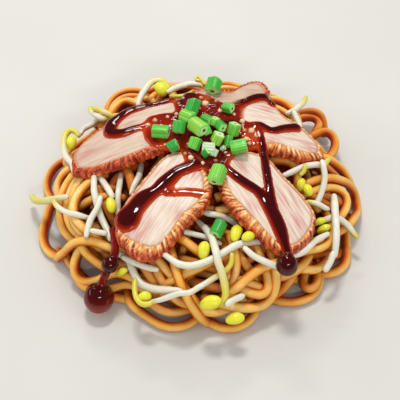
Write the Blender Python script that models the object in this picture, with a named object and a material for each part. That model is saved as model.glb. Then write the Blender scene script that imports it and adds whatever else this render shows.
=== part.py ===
"""Yakisoba: a heap of fried noodles under five slices of roast pork, with bean sprouts,
spring onion and a poured brown sauce, lying on a table with no dish.

Metres, +Z up. The origin is on the table, at the middle of the whole heap's box in plan, and the
front of the heap faces -Y. Sizes below are in millimetres, and each mesh is scaled to metres last.
"""
import math

import bmesh
import bpy
import numpy as np
from mathutils import Vector
from mathutils.bvhtree import BVHTree

MM = 0.001
GAP = 0.35              # clear space kept between two pieces that touch
BOX_MIDDLE = (-2.98, -8.48)  # middle of the whole heap's box, from the crown that places are given from

# The noodle heap
HEAP_DOME = 47.5        # height of the free dome of noodles
SHOULDER = 70.0         # distance out to the heap's shoulder
SHOULDER_BACK = 11.0    # how much nearer the middle the shoulder is at the back
SHOULDER_FALL = 0.44    # how far the dome's fall has come by there
HEAP_SIDES = 72
HEAP_RINGS = 11
RIM_SINK = 2.4          # depth of the dips between the strands of the outer heap
# The heap's radius at the table, as (angle in degrees, radius)
RIM = [(-170, 93), (-156, 96.5), (-147, 89.5), (-138, 80.5), (-127, 81), (-116, 84.5), (-107, 91.5),
       (-98, 95.5), (-88, 93), (-79, 98), (-71, 95), (-63, 89), (-52, 99.5), (-44, 94.5), (-35, 99),
       (-24, 95), (0, 92), (24, 91), (45, 86), (65, 82), (90, 80), (115, 81.5), (140, 84), (162, 87.5),
       (178, 91.5)]

# The fan of pork slices: the height of its top falls away from the middle of the heap
FAN_CREST = 48.8        # height of the top, 45 mm from the middle
FAN_SLOPE = 0.2165
FAN_CURL = 0.0025
FAN_MID = 45.0
SLICE_THICK = 6.0
SLICE_BULGE = 1.0       # how far the crust stands out at mid thickness
SLICE_POINTS = 28

# Each slice's outline in plan, from its inner end round by its outer end
SLICES = {
    "pork_slice_left": [(-12, -5), (-24, -10.5), (-40, -16), (-56, -19), (-69, -17), (-71, -4),
                        (-62, 9), (-47, 20), (-32, 28), (-17, 31), (-10.5, 22), (-10, 8)],
    "pork_slice_front_left": [(-11, -11.5), (-1, -18), (6, -31), (4.5, -44), (-5, -55), (-14, -66),
                              (-24, -73), (-36, -69.5), (-44.5, -58), (-41.5, -44), (-30.5, -28),
                              (-20, -15)],
    "pork_slice_front_right": [(17, -13), (11, -25), (10.5, -36), (16, -47), (24, -56), (33, -64),
                               (42, -69), (51, -66), (59, -57), (62, -46), (56, -35), (46, -24),
                               (37, -13.5), (27, -10)],
    "pork_slice_right": [(26, -3), (36, -7), (46, -8.5), (57, -10), (68, -7), (68, 2), (62, 10),
                         (56, 17), (48, 22), (42, 30), (35, 33), (26, 28), (22.5, 15)],
    "pork_slice_back": [(-7, 35), (0, 42), (10, 42.5), (19, 40.5), (27, 47), (35, 51), (41, 45),
                        (38, 38), (27, 33.5), (19, 26), (18, 10), (9, -2), (-3, -2), (-7.5, 14)],
}
BACK_CURL = (33.0, 44.0, 14.0, 1.5)     # the back slice's raised end: x, y, spread, lift

# Sauce: the pool in the middle, then the streams, as (x, y, half width)
SAUCE_THICK = 2.2
SAUCE_CELL = 2.5
SAUCE_BRIDGE = 3.0      # the sauce spans gaps up to twice this
SAUCE_REACH = 30        # cells each way from the middle
POOL = [(-30, 15), (-32, 6), (-30, -3), (-25, -9), (-18, -10), (-11, -12), (-8, -19), (0, -24),
        (8, -26), (14, -24), (18, -16), (24, -9), (31, -7), (31, 1), (30, 9), (24, 14), (23, 21),
        (12, 27), (5, 33), (-3, 36), (-11, 35), (-15, 27), (-15, 19), (-22, 18)]
STREAMS = [
    [(-13, 33, 2.4), (-18, 29, 2.2), (-26, 26.5, 2.2), (-34, 25, 2.6), (-42, 22, 3.4),
     (-49, 15, 4.2), (-50, 7, 4.2), (-44, 5, 3.4), (-37, 7, 3.1), (-30, 9, 3)],
    [(0, -20, 5), (-8, -22, 5), (-16, -29, 5.4), (-25, -37, 5.8), (-34, -43, 5.6), (-38, -51, 6.6)],
    [(-17, -38.5, 1.9), (-9, -38.5, 1.9), (2, -39.5, 2)],
    [(14, -23, 2.8), (22, -30.5, 3), (31, -37, 3.2), (38, -46, 4.2), (43, -56, 4.3), (45.5, -66, 3)],
    [(31, 8, 3.4), (33.5, -2, 3), (35, -15, 2.7), (36.5, -30, 2.9), (38, -44, 3.2)],
    [(27, 7, 3), (33, 9.5, 2.8), (40, 6.5, 2.7), (47, 9.5, 2.8), (54, 12, 3.4)],
    [(19, 21, 3), (26, 29, 2.7), (33, 34, 2.7), (40, 35, 2.9), (41.5, 30, 2.5)],
]

# Runs of sauce beyond the pour: points in space, radius of the neck, then each bead's distance
# along and radius. The left one ends in a bead on the table, the right one hangs from a slice.
DRIP_RING = 2.5
DRIP_SIDES = 8
DRIPS = {
    "sauce_drip_left": ([(-46.3, -52.3, 36.2), (-45, -57.5, 33.5), (-44.3, -62.5, 29), (-47.4, -65.5, 24),
                         (-51, -65.5, 14), (-53.3, -66, 6.5), (-53.9, -71.3, 4.4), (-54, -78.5, 8.5),
                         (-54.1, -85.7, 12.6)], 1.5, [(19.4, 3.6), (51.9, 8.3)]),
    "sauce_drip_right": ([(46.5, -72.3, 42), (45.8, -76.5, 39.4), (45.2, -78.6, 32.5)],
                         1.3, [(2.2, 2.2), (6.8, 6.2)]),
}

# Bean sprouts, as the points that the stem passes over in plan, the first being its thin end
STEM_RADIUS = 2.0
STEM_SIDES = 6
HEAD_SIDES = 8
STEM_RING = 7.5
STEM_CLEAR = 0.15       # extra room under a stem
STEM_DROOP = 0.9        # steepest fall of a stem, in mm for each mm along it
SPROUTS = {
    "sprout_01": [(-97, -13), (-91, -18), (-83, -18.5), (-72, -24)],
    "sprout_02": [(-83, -21), (-77, -30), (-70, -37), (-61, -43)],
    "sprout_03": [(-59, -23), (-57.5, -33), (-53, -45), (-47, -55)],
    "sprout_04": [(-50, -26), (-54, -36), (-56, -44), (-60, -53)],
    "sprout_05": [(-42, -22), (-44, -31), (-44, -40)],
    "sprout_06": [(-33.5, -20), (-36, -26), (-37.5, -31)],
    "sprout_07": [(-46, -64), (-40, -73), (-32, -80), (-20, -83)],
    "sprout_08": [(-17, -73), (-8, -75.5), (3, -73.5), (18, -68), (32, -66)],
    "sprout_09": [(1, -53), (6, -63), (9, -73), (12.5, -82)],
    "sprout_10": [(-6, -60.5), (4, -63.5), (12, -66)],
    "sprout_11": [(5, -50), (12, -51.5), (20, -55.5)],
    "sprout_12": [(22, -70), (29, -73), (37, -77)],
    "sprout_14": [(47.5, -20.5), (55, -16), (62, -13.5), (69, -11.5), (74, -4)],
    "sprout_15": [(67, -19), (68.5, -26), (66, -34), (64.5, -38)],
    "sprout_16": [(75, -23), (75, -36), (75, -47), (73, -56)],
    "sprout_17": [(62, -33), (71, -33.5), (79, -37), (86, -46)],
    "sprout_18": [(70, -53), (67.5, -60), (62, -67)],
    "sprout_19": [(-54, 30), (-61, 35.5), (-67, 43)],
    "sprout_20": [(-21, 47), (-10, 52.5), (3, 54)],
    "sprout_21": [(49, 29), (55, 37), (61, 48), (64, 58)],
    "sprout_22": [(54, 30), (58.5, 24.5), (64, 19)],
}

# The one stem that is tucked under a slice's end, and so is laid before the slices
TUCKED = {"sprout_13": [(51, -64), (57, -58.5), (64, -52), (71, -44)]}

# Bean sprouts that end in a head: the stem's points, then the head's length and half width
HEADED = {
    "sprout_23": ([(-53, -24.5), (-50.5, -31), (-48, -43.5)], 10.0, 3.4),
    "sprout_25": ([(13.5, -84.5), (12, -89), (6.5, -91), (-1, -89)], 12.0, 3.9),
    "sprout_24": ([(17, -72), (13, -77), (4, -81), (-8, -84.5), (-20, -87), (-31, -85.5)], 9.0, 3.4),
    "sprout_26": ([(58, -18.5), (54.5, -27.5)], 8.0, 3.0),
    "sprout_27": ([(-58, 25), (-66, 20), (-73, 17.5), (-75, 7)], 10.0, 3.6),
    "sprout_28": ([(-36.5, 33), (-33, 41), (-27.5, 46.5), (-20.5, 39.5)], 10.5, 4.1),
}

# Heads that show alone among the noodles: x, y, heading in degrees, length, half width
HEADS = {
    "sprout_head_1": (59.5, -28, -70, 8.5, 3.0),
    "sprout_head_2": (69, -42, 10, 8.0, 2.9),
    "sprout_head_3": (2.5, -68.5, 75, 8.5, 3.3),
    "sprout_head_4": (19.5, -60.5, 68, 11.5, 3.6),
    "sprout_head_5": (25.5, -63.5, 35, 7.5, 3.1),
    "sprout_head_6": (18.5, -94, 5, 10.0, 3.2),
}

# Spring onion pieces, lowest first: x, y, heading and tilt of the axis in degrees, length, radius
ONIONS = [
    (-21.5, -3, -10, 0, 9.5, 3.5), (-14.5, -12, 20, 20, 5.5, 3.2), (-11.5, -0.5, 80, 25, 6.5, 3.4),
    (-7, 7.5, -35, 5, 7.5, 3.5), (-3.5, 16, 70, 20, 8.5, 3.6), (4.5, 7.5, -45, 10, 6.0, 3.0),
    (11.5, 3, -60, 10, 6.5, 2.7), (19, 2, 60, 70, 7.0, 3.3), (21, -14, 5, 10, 9, 3.8),
    (-3, -11, 65, 35, 6.5, 3.4), (4.8, -11.5, -8, 0, 7.0, 3.4), (11.5, -6.5, 35, 65, 6.0, 3.3),
    (-1.0, -1.5, -50, 5, 10.5, 4.0), (15.5, 15.5, -30, 10, 6.0, 2.8), (8, 36, 75, 12, 8.5, 4.1),
    (9, -30, 70, 6, 10, 4.1), (11, -63.5, 65, 8, 9.0, 3.4),
]
ONION_SIDES = 8

COLOURS = {
    "noodles": ((0.62, 0.33, 0.11), 0.45),
    "pork": ((0.72, 0.55, 0.43), 0.5),
    "sauce": ((0.09, 0.008, 0.01), 0.15),
    "sprout": ((0.78, 0.77, 0.6), 0.4),
    "spring_onion": ((0.2, 0.52, 0.12), 0.45),
}

for thing in list(bpy.data.objects):
    bpy.data.objects.remove(thing, do_unlink=True)


def add_material(slot):
    """One Principled material in the slot's colour and roughness."""
    colour, roughness = COLOURS[slot]
    made = bpy.data.materials.new(slot)
    made.use_nodes = True
    shader = made.node_tree.nodes["Principled BSDF"]
    shader.inputs["Base Color"].default_value = (*colour, 1.0)
    shader.inputs["Roughness"].default_value = roughness
    shader.inputs["Metallic"].default_value = 0.0
    made.diffuse_color = (*colour, 1.0)
    return made


MATERIALS = {slot: add_material(slot) for slot in COLOURS}
middle = bpy.data.objects.new("heap_middle", None)
middle.location = (-BOX_MIDDLE[0] * MM, -BOX_MIDDLE[1] * MM, 0)
bpy.context.collection.objects.link(middle)


def smooth_line(points, closed, spacing=None, count=None):
    """Points at even steps along a Catmull-Rom curve through the given ones, of any width."""
    knots = np.array(points, float)
    if closed:
        ends = np.vstack([knots[-1:], knots, knots[:2]])
    else:
        ends = np.vstack([2 * knots[0] - knots[1], knots, 2 * knots[-1] - knots[-2]])
    fine = []
    for k in range(len(ends) - 3):
        a, b, c, d = ends[k:k + 4]
        for t in np.linspace(0, 1, 24, endpoint=False):
            fine.append(0.5 * (2 * b + (c - a) * t + (2 * a - 5 * b + 4 * c - d) * t ** 2
                               + (3 * b - a - 3 * c + d) * t ** 3))
    fine.append(ends[-2])
    fine = np.array(fine)
    along = np.concatenate([[0], np.cumsum(np.linalg.norm(np.diff(fine, axis=0), axis=1))])
    if count is None:
        count = max(3, int(round(along[-1] / spacing)) + 1)
    at = np.linspace(0, along[-1], count, endpoint=not closed)
    return np.stack([np.interp(at, along, fine[:, k]) for k in range(fine.shape[1])], axis=1)


def add_piece(name, slot, verts, faces):
    """A closed mesh given in millimetres, as an object in metres under the heap's middle."""
    mesh = bpy.data.meshes.new(name)
    mesh.from_pydata([tuple(float(c) * MM for c in v) for v in verts], [], faces)
    solid = bmesh.new()
    solid.from_mesh(mesh)
    bmesh.ops.recalc_face_normals(solid, faces=solid.faces)
    if solid.calc_volume(signed=True) < 0:
        bmesh.ops.reverse_faces(solid, faces=solid.faces)
    bmesh.ops.triangulate(solid, faces=solid.faces)
    solid.to_mesh(mesh)
    solid.free()
    mesh.shade_smooth()
    mesh.set_sharp_from_angle(angle=math.radians(40))
    mesh.materials.append(MATERIALS[slot])
    piece = bpy.data.objects.new(name, mesh)
    piece.parent = middle
    bpy.context.collection.objects.link(piece)
    return piece


class Relief:
    """The height of everything laid so far, on a square grid in plan, in millimetres."""

    HALF = 110.0
    STEP = 0.5

    def __init__(self):
        side = int(2 * self.HALF / self.STEP) + 1
        self.height = np.zeros((side, side))

    def index(self, value):
        return int(round((value + self.HALF) / self.STEP))

    def places(self, mesh):
        """Every grid place under a mesh's box in plan."""
        corners = np.array([v.co[:2] for v in mesh.vertices]) / MM
        low = corners.min(axis=0)
        high = corners.max(axis=0)
        for i in range(self.index(low[0]), self.index(high[0]) + 1):
            for j in range(self.index(low[1]), self.index(high[1]) + 1):
                yield i, j, i * self.STEP - self.HALF, j * self.STEP - self.HALF

    def add(self, mesh):
        """Raise the relief to the top of a mesh."""
        tree = BVHTree.FromPolygons([v.co / MM for v in mesh.vertices],
                                    [p.vertices for p in mesh.polygons])
        for i, j, x, y in self.places(mesh):
            hit = tree.ray_cast(Vector((x, y, 200)), Vector((0, 0, -1)))[0]
            if hit is not None:
                self.height[i, j] = max(self.height[i, j], hit.z)

    def widened(self, reach):
        """The highest point within a square of the given half side, around every place."""
        steps = int(round(reach / self.STEP))
        high = self.height.copy()
        for axis in (0, 1):
            best = high.copy()
            for shift in range(-steps, steps + 1):
                best = np.maximum(best, np.roll(high, shift, axis))
            high = best
        return high

    def rest(self, mesh):
        """How far up a mesh must go to clear everything laid so far."""
        tree = BVHTree.FromPolygons([v.co / MM for v in mesh.vertices],
                                    [p.vertices for p in mesh.polygons])
        high = self.widened(self.STEP)
        lift = -1000.0
        for i, j, x, y in self.places(mesh):
            hit = tree.ray_cast(Vector((x, y, -200)), Vector((0, 0, 1)))[0]
            if hit is not None:
                lift = max(lift, high[i, j] - hit.z)
        return lift + GAP

    def over(self, x, y, radius):
        """Height of the middle of a ball that rests at a place."""
        best = 0.0
        reach = int(math.ceil((radius + GAP) / self.STEP))
        ci = self.index(x)
        cj = self.index(y)
        for i in range(ci - reach, ci + reach + 1):
            for j in range(cj - reach, cj + reach + 1):
                dx = i * self.STEP - self.HALF - x
                dy = j * self.STEP - self.HALF - y
                inside = (radius + GAP) ** 2 - dx * dx - dy * dy
                if inside > 0:
                    best = max(best, self.height[i, j] + math.sqrt(inside))
        return best


relief = Relief()


def fan_top(x, y):
    """Height of the top of the fan of slices."""
    out = math.hypot(x, y) - FAN_MID
    return FAN_CREST - FAN_SLOPE * out - FAN_CURL * out * out


def heap_radius(angle):
    """Radius of the heap at the table, eased between the rim's points."""
    degrees = math.degrees(angle)
    ends = RIM + [(RIM[0][0] + 360, RIM[0][1])]
    if degrees < RIM[0][0]:
        degrees += 360
    for (at, here), (to, there) in zip(ends, ends[1:]):
        if at <= degrees <= to:
            ease = 0.5 - 0.5 * math.cos(math.pi * (degrees - at) / (to - at))
            return here + (there - here) * ease
    return ends[-1][1]


def heap_height(radius, x, y):
    """Height of the noodles: a steep-sided dome, flattened where the slices press on it."""
    share = min(1.0, math.hypot(x, y) / radius)
    # the shoulder keeps its height where the rim falls short, so the side there is steeper
    shoulder = SHOULDER - SHOULDER_BACK * max(0.0, y) / max(1.0, math.hypot(x, y))
    fall = math.log(SHOULDER_FALL) / math.log(shoulder / radius)
    dome = HEAP_DOME * (1 - share ** fall) ** 0.6
    pressed = fan_top(x, y) - SLICE_THICK - GAP - 0.45
    wave = math.sin(x / 4.3 + 1.7 * math.sin(y / 7.1)) * math.sin(y / 5.2 + 1.3 * math.sin(x / 8.3))
    sink = RIM_SINK * (0.5 + 0.5 * wave) * min(1.0, max(0.0, (share - 0.55) * 4))
    return max(0.0, min(dome, pressed) - sink * min(1.0, 6 * (1 - share)))


def add_heap():
    """The noodles as one solid, out to their uneven outline."""
    verts = [(0, 0, heap_height(RIM[0][1], 0, 0))]
    for ring in range(1, HEAP_RINGS + 1):
        share = 1 - (1 - ring / HEAP_RINGS) ** 1.45
        for side in range(HEAP_SIDES):
            angle = 2 * math.pi * side / HEAP_SIDES
            radius = heap_radius(angle if angle < math.pi else angle - 2 * math.pi)
            x = radius * share * math.cos(angle)
            y = radius * share * math.sin(angle)
            z = heap_height(radius, x, y)
            verts.append((x, y, z if ring < HEAP_RINGS else 0.0))
    faces = []
    for side in range(HEAP_SIDES):
        nxt = (side + 1) % HEAP_SIDES
        faces.append((0, 1 + side, 1 + nxt))
        for ring in range(HEAP_RINGS - 1):
            a = 1 + ring * HEAP_SIDES
            b = a + HEAP_SIDES
            faces.append((a + side, b + side, b + nxt, a + nxt))
    rim = 1 + (HEAP_RINGS - 1) * HEAP_SIDES
    faces.append(tuple(range(rim, rim + HEAP_SIDES)))
    relief.add(add_piece("noodle_heap", "noodles", verts, faces).data)


def slice_lift(name, x, y):
    """The back slice's right end curls up off the fan."""
    if name != "pork_slice_back":
        return 0.0
    cx, cy, spread, lift = BACK_CURL
    return lift * math.exp(-((x - cx) ** 2 + (y - cy) ** 2) / spread ** 2)


def add_slice(name, outline):
    """A slice of pork: its outline as a rounded slab that follows the fan."""
    edge = smooth_line(outline, True, count=SLICE_POINTS)
    centre = edge.mean(axis=0)
    # share of the way out from the centre, then the depth below the top
    layers = [(0.5, 0.0), (1.0, 0.35), (1.0, 0.5 * SLICE_THICK), (1.0, SLICE_THICK - 0.35),
              (0.5, SLICE_THICK)]
    verts = []
    for share, depth in layers:
        for k, point in enumerate(edge):
            outward = point - centre
            outward /= np.linalg.norm(outward)
            swell = SLICE_BULGE * (1 - (depth / SLICE_THICK * 2 - 1) ** 2) if share == 1.0 else 0.0
            x, y = centre + (point - centre) * share + outward * (swell - SLICE_BULGE)
            verts.append((x, y, fan_top(x, y) + slice_lift(name, x, y) - depth))
    top = len(verts)
    for depth in (0.0, SLICE_THICK):
        verts.append((*centre, fan_top(*centre) + slice_lift(name, *centre) - depth))
    faces = []
    for k in range(SLICE_POINTS):
        nxt = (k + 1) % SLICE_POINTS
        faces.append((top, k, nxt))
        last = (len(layers) - 1) * SLICE_POINTS
        faces.append((top + 1, last + nxt, last + k))
        for layer in range(len(layers) - 1):
            a = layer * SLICE_POINTS
            b = a + SLICE_POINTS
            faces.append((a + k, b + k, b + nxt, a + nxt))
    relief.add(add_piece(name, "pork", verts, faces).data)


def inside_outline(outline, x, y):
    """Distance inside a closed outline, negative outside it."""
    a = outline
    b = np.roll(outline, -1, axis=0)
    edge = b - a
    to = np.array([x, y]) - a
    t = np.clip((to * edge).sum(1) / (edge ** 2).sum(1), 0, 1)
    away = np.linalg.norm(to - edge * t[:, None], axis=1).min()
    crosses = (a[:, 1] > y) != (b[:, 1] > y)
    with np.errstate(divide="ignore", invalid="ignore"):
        at = a[:, 0] + (y - a[:, 1]) * edge[:, 0] / edge[:, 1]
    odd = np.count_nonzero(crosses & (x < at)) % 2 == 1
    return away if odd else -away


def sauce_depth(pool, streams, x, y):
    """Distance inside the whole pour, negative outside it."""
    best = inside_outline(pool, x, y)
    for line in streams:
        best = max(best, (line[:, 2] - np.hypot(line[:, 0] - x, line[:, 1] - y)).max())
    return best


def add_sauce():
    """The pour as one skin of sauce draped on the slices, with its rim on the outline."""
    pool = smooth_line(POOL, True, count=90)
    streams = [smooth_line(line, False, spacing=1.5) for line in STREAMS]
    bridge = relief.widened(SAUCE_BRIDGE)
    reach = range(-SAUCE_REACH, SAUCE_REACH + 1)
    depth = {(i, j): sauce_depth(pool, streams, i * SAUCE_CELL, j * SAUCE_CELL)
             for i in reach for j in reach}

    def corners_of(i, j):
        return [(i, j), (i + 1, j), (i + 1, j + 1), (i, j + 1)]

    wet = {(i, j) for i in reach for j in reach
           if all(depth.get(c, -9.0) > -0.45 * SAUCE_CELL for c in corners_of(i, j))}
    # keep one body: the cells reached edge to edge from the middle
    kept = {(0, 0)}
    todo = [(0, 0)]
    while todo:
        i, j = todo.pop()
        for step in ((i + 1, j), (i - 1, j), (i, j + 1), (i, j - 1)):
            if step in wet and step not in kept:
                kept.add(step)
                todo.append(step)
    # cells that meet only at a corner are joined by a third
    for i in reach:
        for j in reach:
            low_left, right, above, far = (i, j) in kept, (i + 1, j) in kept, (i, j + 1) in kept, \
                (i + 1, j + 1) in kept
            if low_left and far and not right and not above:
                kept.add((i + 1, j))
            if right and above and not low_left and not far:
                kept.add((i, j))
    cells = [corners_of(i, j) for i, j in sorted(kept)]
    spots = {}
    edges = {}
    for corners in cells:
        for k in range(4):
            edge = frozenset((corners[k], corners[(k + 1) % 4]))
            edges[edge] = edges.get(edge, 0) + 1
    rim = {spot for edge, uses in edges.items() if uses == 1 for spot in edge}
    verts = []
    for corners in cells:
        for spot in corners:
            if spot in spots:
                continue
            x = spot[0] * SAUCE_CELL
            y = spot[1] * SAUCE_CELL
            if spot in rim:
                # slide the rim's points along the slope of the depth onto the outline
                for _ in range(4):
                    d = sauce_depth(pool, streams, x, y)
                    gx = sauce_depth(pool, streams, x + 0.5, y) - d
                    gy = sauce_depth(pool, streams, x, y + 0.5) - d
                    size = max(0.25, math.hypot(gx, gy))
                    push = max(-1.0, min(1.0, d - 0.3))
                    x -= push * gx / size
                    y -= push * gy / size
            low = bridge[relief.index(x), relief.index(y)] + GAP + 0.25
            thick = 0.7 if spot in rim else SAUCE_THICK
            spots[spot] = len(verts)
            verts.append((x, y, low))
            verts.append((x, y, low + thick))
    faces = []
    for corners in cells:
        a, b, c, d = (spots[spot] for spot in corners)
        faces.append((a, d, c, b))
        faces.append((a + 1, b + 1, c + 1, d + 1))
        for k in range(4):
            p = corners[k]
            q = corners[(k + 1) % 4]
            if edges[frozenset((p, q))] == 1:
                faces.append((spots[p], spots[q], spots[q] + 1, spots[p] + 1))
    relief.add(add_piece("sauce_pour", "sauce", verts, faces).data)


def loft(name, slot, line, radii, sides):
    """A solid of round sections along a line in space, with its ends drawn in."""
    count = len(line)
    verts = []
    for k in range(count):
        ahead = line[min(k + 1, count - 1)] - line[max(k - 1, 0)]
        ahead = Vector(ahead).normalized()
        across = ahead.cross(Vector((0, 0, 1))).normalized()
        upward = across.cross(ahead)
        for side in range(sides):
            angle = 2 * math.pi * (side + 0.5) / sides
            out = across * math.cos(angle) + upward * math.sin(angle)
            verts.append(Vector(line[k]) + out * radii[k])
    faces = [tuple(range(sides)), tuple(range((count - 1) * sides, count * sides))]
    for k in range(count - 1):
        for side in range(sides):
            nxt = (side + 1) % sides
            a = k * sides
            faces.append((a + side, a + nxt, a + sides + nxt, a + sides + side))
    piece = add_piece(name, slot, verts, faces)
    relief.add(piece.data)
    return piece


def blurred(values, reach):
    """A running mean, with the ends held level."""
    padded = np.pad(values, reach, mode="edge")
    return np.convolve(padded, np.full(2 * reach + 1, 1 / (2 * reach + 1)), mode="valid")


def laid_line(points, radius_at):
    """Millimetre steps along a curve in plan, each as high as the things below it ask, bridging
    hollows, without sharp bends, and no steeper than a stem droops. Gives the steps, their radii
    and the least height of each."""
    flat = smooth_line(points, False, spacing=1.0)
    count = len(flat)
    radii = [radius_at(k / (count - 1)) for k in range(count)]
    low = np.array([relief.over(x, y, r) for (x, y), r in zip(flat, radii)])
    high = low.copy()
    for k in range(1, count):
        high[k] = max(high[k], high[k - 1] - STEM_DROOP)
    for k in range(count - 2, -1, -1):
        high[k] = max(high[k], high[k + 1] - STEM_DROOP)
    for _ in range(40):
        high[1:-1] = np.maximum(high[1:-1], 0.5 * (high[:-2] + high[2:]))
    for _ in range(4):
        soft = blurred(high, 3)
        high = soft + blurred(np.maximum(0.0, low - soft), 2) * 1.6
    return np.column_stack([flat, high]), radii, low


def ring_line(line, low, at):
    """The line's points at the rings, raised until the straight runs between them clear too."""
    rings = line[at].copy()
    lift = np.zeros(len(at))
    for k in range(len(at) - 1):
        steps = np.arange(at[k], at[k + 1] + 1)
        run = np.interp(steps, [at[k], at[k + 1]], rings[k:k + 2, 2])
        short = max(0.0, (low[steps] - run).max())
        lift[k:k + 2] = np.maximum(lift[k:k + 2], short)
    rings[:, 2] += lift + STEM_CLEAR
    return rings


def add_stem(name, points):
    """A bean sprout's stem, thinner at both ends."""
    def radius_at(share):
        ends = min(share, 1 - share)
        return STEM_RADIUS * (0.62 + 0.38 * min(1.0, ends * 6))

    line, radii, low = laid_line(points, radius_at)
    count = max(3, int(round(len(line) / STEM_RING)) + 1)
    at = np.linspace(0, len(line) - 1, count).round().astype(int)
    loft(name, "sprout", ring_line(line, low, at), [radii[k] for k in at], STEM_SIDES)


def head_radius(share, half_width):
    """Half width of a bean along its length."""
    return half_width * max(0.3, math.sin(math.pi * min(1.0, max(0.0, share)))) ** 0.75


def add_headed(name, points, length, half_width):
    """A bean sprout whose stem swells into its head."""
    whole = np.linalg.norm(np.diff(smooth_line(points, False, spacing=1.0), axis=0), axis=1).sum()
    neck = 1 - length / whole

    def radius_at(share):
        if share < neck:
            return STEM_RADIUS * (0.65 + 0.35 * min(1.0, share * 6))
        return max(STEM_RADIUS * 0.8 * (share < 1), head_radius((share - neck) / (1 - neck), half_width))

    line, radii, low = laid_line(points, radius_at)
    last = len(line) - 1
    stem = max(2, int(round(neck * whole / STEM_RING)) + 1)
    shares = list(np.linspace(0, neck, stem)) + [neck + (1 - neck) * t for t in (0.2, 0.5, 0.8, 1.0)]
    at = [int(round(share * last)) for share in shares]
    loft(name, "sprout", ring_line(line, low, at), [radii[k] for k in at], STEM_SIDES)


def add_head(name, x, y, heading, length, half_width):
    """A bean on its own."""
    turn = math.radians(heading)
    ahead = np.array([math.cos(turn), math.sin(turn)])
    points = [np.array([x, y]) + ahead * length * t for t in (-0.5, 0, 0.5)]
    line, _, low = laid_line(points, lambda share: head_radius(share, half_width))
    last = len(line) - 1
    at = [int(round(t * last)) for t in (0, 0.17, 0.5, 0.83, 1)]
    radii = [head_radius(k / last, half_width) for k in at]
    loft(name, "sprout", ring_line(line, low, at), radii, HEAD_SIDES)


def add_onion(name, x, y, heading, tilt, length, radius):
    """A short cut length of spring onion, settled on what is below it."""
    turn = math.radians(heading)
    rise = math.radians(tilt)
    ahead = Vector((math.cos(turn) * math.cos(rise), math.sin(turn) * math.cos(rise), math.sin(rise)))
    across = ahead.cross(Vector((0, 0, 1))).normalized()
    upward = across.cross(ahead)
    verts = []
    for along, share in ((-0.5, 0.86), (-0.42, 1.0), (0.42, 1.0), (0.5, 0.86)):
        for side in range(ONION_SIDES):
            angle = 2 * math.pi * side / ONION_SIDES
            out = across * math.cos(angle) + upward * math.sin(angle) * 0.9
            verts.append(Vector((x, y, 0)) + ahead * along * length + out * radius * share)
    faces = [tuple(range(ONION_SIDES)), tuple(range(3 * ONION_SIDES, 4 * ONION_SIDES))]
    for ring in range(3):
        for side in range(ONION_SIDES):
            nxt = (side + 1) % ONION_SIDES
            a = ring * ONION_SIDES
            faces.append((a + side, a + nxt, a + ONION_SIDES + nxt, a + ONION_SIDES + side))
    mesh = add_piece(name, "spring_onion", verts, faces).data
    lift = relief.rest(mesh) * MM
    for vert in mesh.vertices:
        vert.co.z += lift
    relief.add(mesh)


def add_drip(name, points, neck, beads):
    """A run of sauce through points in space, a thin neck that swells into round beads.
    Each bead is (distance along, radius)."""
    line = smooth_line(points, False, spacing=DRIP_RING)
    along = np.concatenate([[0], np.cumsum(np.linalg.norm(np.diff(line, axis=0), axis=1))])
    radii = []
    for far in along:
        radius = neck
        for at, size in beads:
            if abs(far - at) < size:
                radius = max(radius, math.sqrt(size ** 2 - (far - at) ** 2))
        radii.append(radius)
    loft(name, "sauce", line, radii, DRIP_SIDES)


add_heap()
for stem_name, stem_points in TUCKED.items():
    add_stem(stem_name, stem_points)
for slice_name, slice_outline in SLICES.items():
    add_slice(slice_name, slice_outline)
add_sauce()
for drip_name, drip in DRIPS.items():
    add_drip(drip_name, *drip)
for head_name, head in HEADS.items():
    add_head(head_name, *head)
for stem_name, stem_points in SPROUTS.items():
    add_stem(stem_name, stem_points)
for headed_name, headed in HEADED.items():
    add_headed(headed_name, *headed)
for number, onion in enumerate(ONIONS, start=1):
    add_onion(f"spring_onion_{number:02d}", *onion)
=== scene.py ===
"""The looks of a heap of yakisoba: fried noodles under a fan of roast pork, with bean sprouts,
spring onion and a poured sauce, lying on a bare pale table.

Places inside a section are in millimetres from the crown, the point of the table under the middle
of the fan, and each mesh is turned into metres in the frame as it is made.
"""
import math

import bpy
import numpy as np
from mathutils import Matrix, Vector, noise
from mathutils.bvhtree import BVHTree


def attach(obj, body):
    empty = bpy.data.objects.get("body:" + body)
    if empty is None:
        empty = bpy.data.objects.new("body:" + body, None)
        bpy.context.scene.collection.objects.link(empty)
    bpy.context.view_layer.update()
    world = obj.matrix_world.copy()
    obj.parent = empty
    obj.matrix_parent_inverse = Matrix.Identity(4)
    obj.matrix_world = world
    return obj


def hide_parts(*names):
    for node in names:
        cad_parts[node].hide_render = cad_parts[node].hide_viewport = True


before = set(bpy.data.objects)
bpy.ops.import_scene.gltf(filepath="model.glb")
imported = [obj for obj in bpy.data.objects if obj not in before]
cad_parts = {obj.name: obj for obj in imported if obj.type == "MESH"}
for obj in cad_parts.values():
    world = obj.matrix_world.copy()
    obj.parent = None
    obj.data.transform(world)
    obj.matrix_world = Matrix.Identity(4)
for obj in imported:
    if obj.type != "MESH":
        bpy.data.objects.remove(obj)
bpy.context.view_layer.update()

scene = bpy.context.scene

# ---------------------------------------------------------------------------------------------
# The table and the light. The food lies straight on a bare, pale, slightly rough table top, and
# soft daylight comes from behind it and from the left, with a weaker fill from the front.
# ---------------------------------------------------------------------------------------------
MM = 0.001
CROWN = np.array([2.98, 8.48, 0.0])      # the crown, in millimetres in the frame


def paint(code):
    """A colour from its six-figure code, as light."""
    shares = [int(code[k:k + 2], 16) / 255 for k in (0, 2, 4)]
    return tuple(s / 12.92 if s < 0.04045 else ((s + 0.055) / 1.055) ** 2.4 for s in shares) + (1,)


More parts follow.
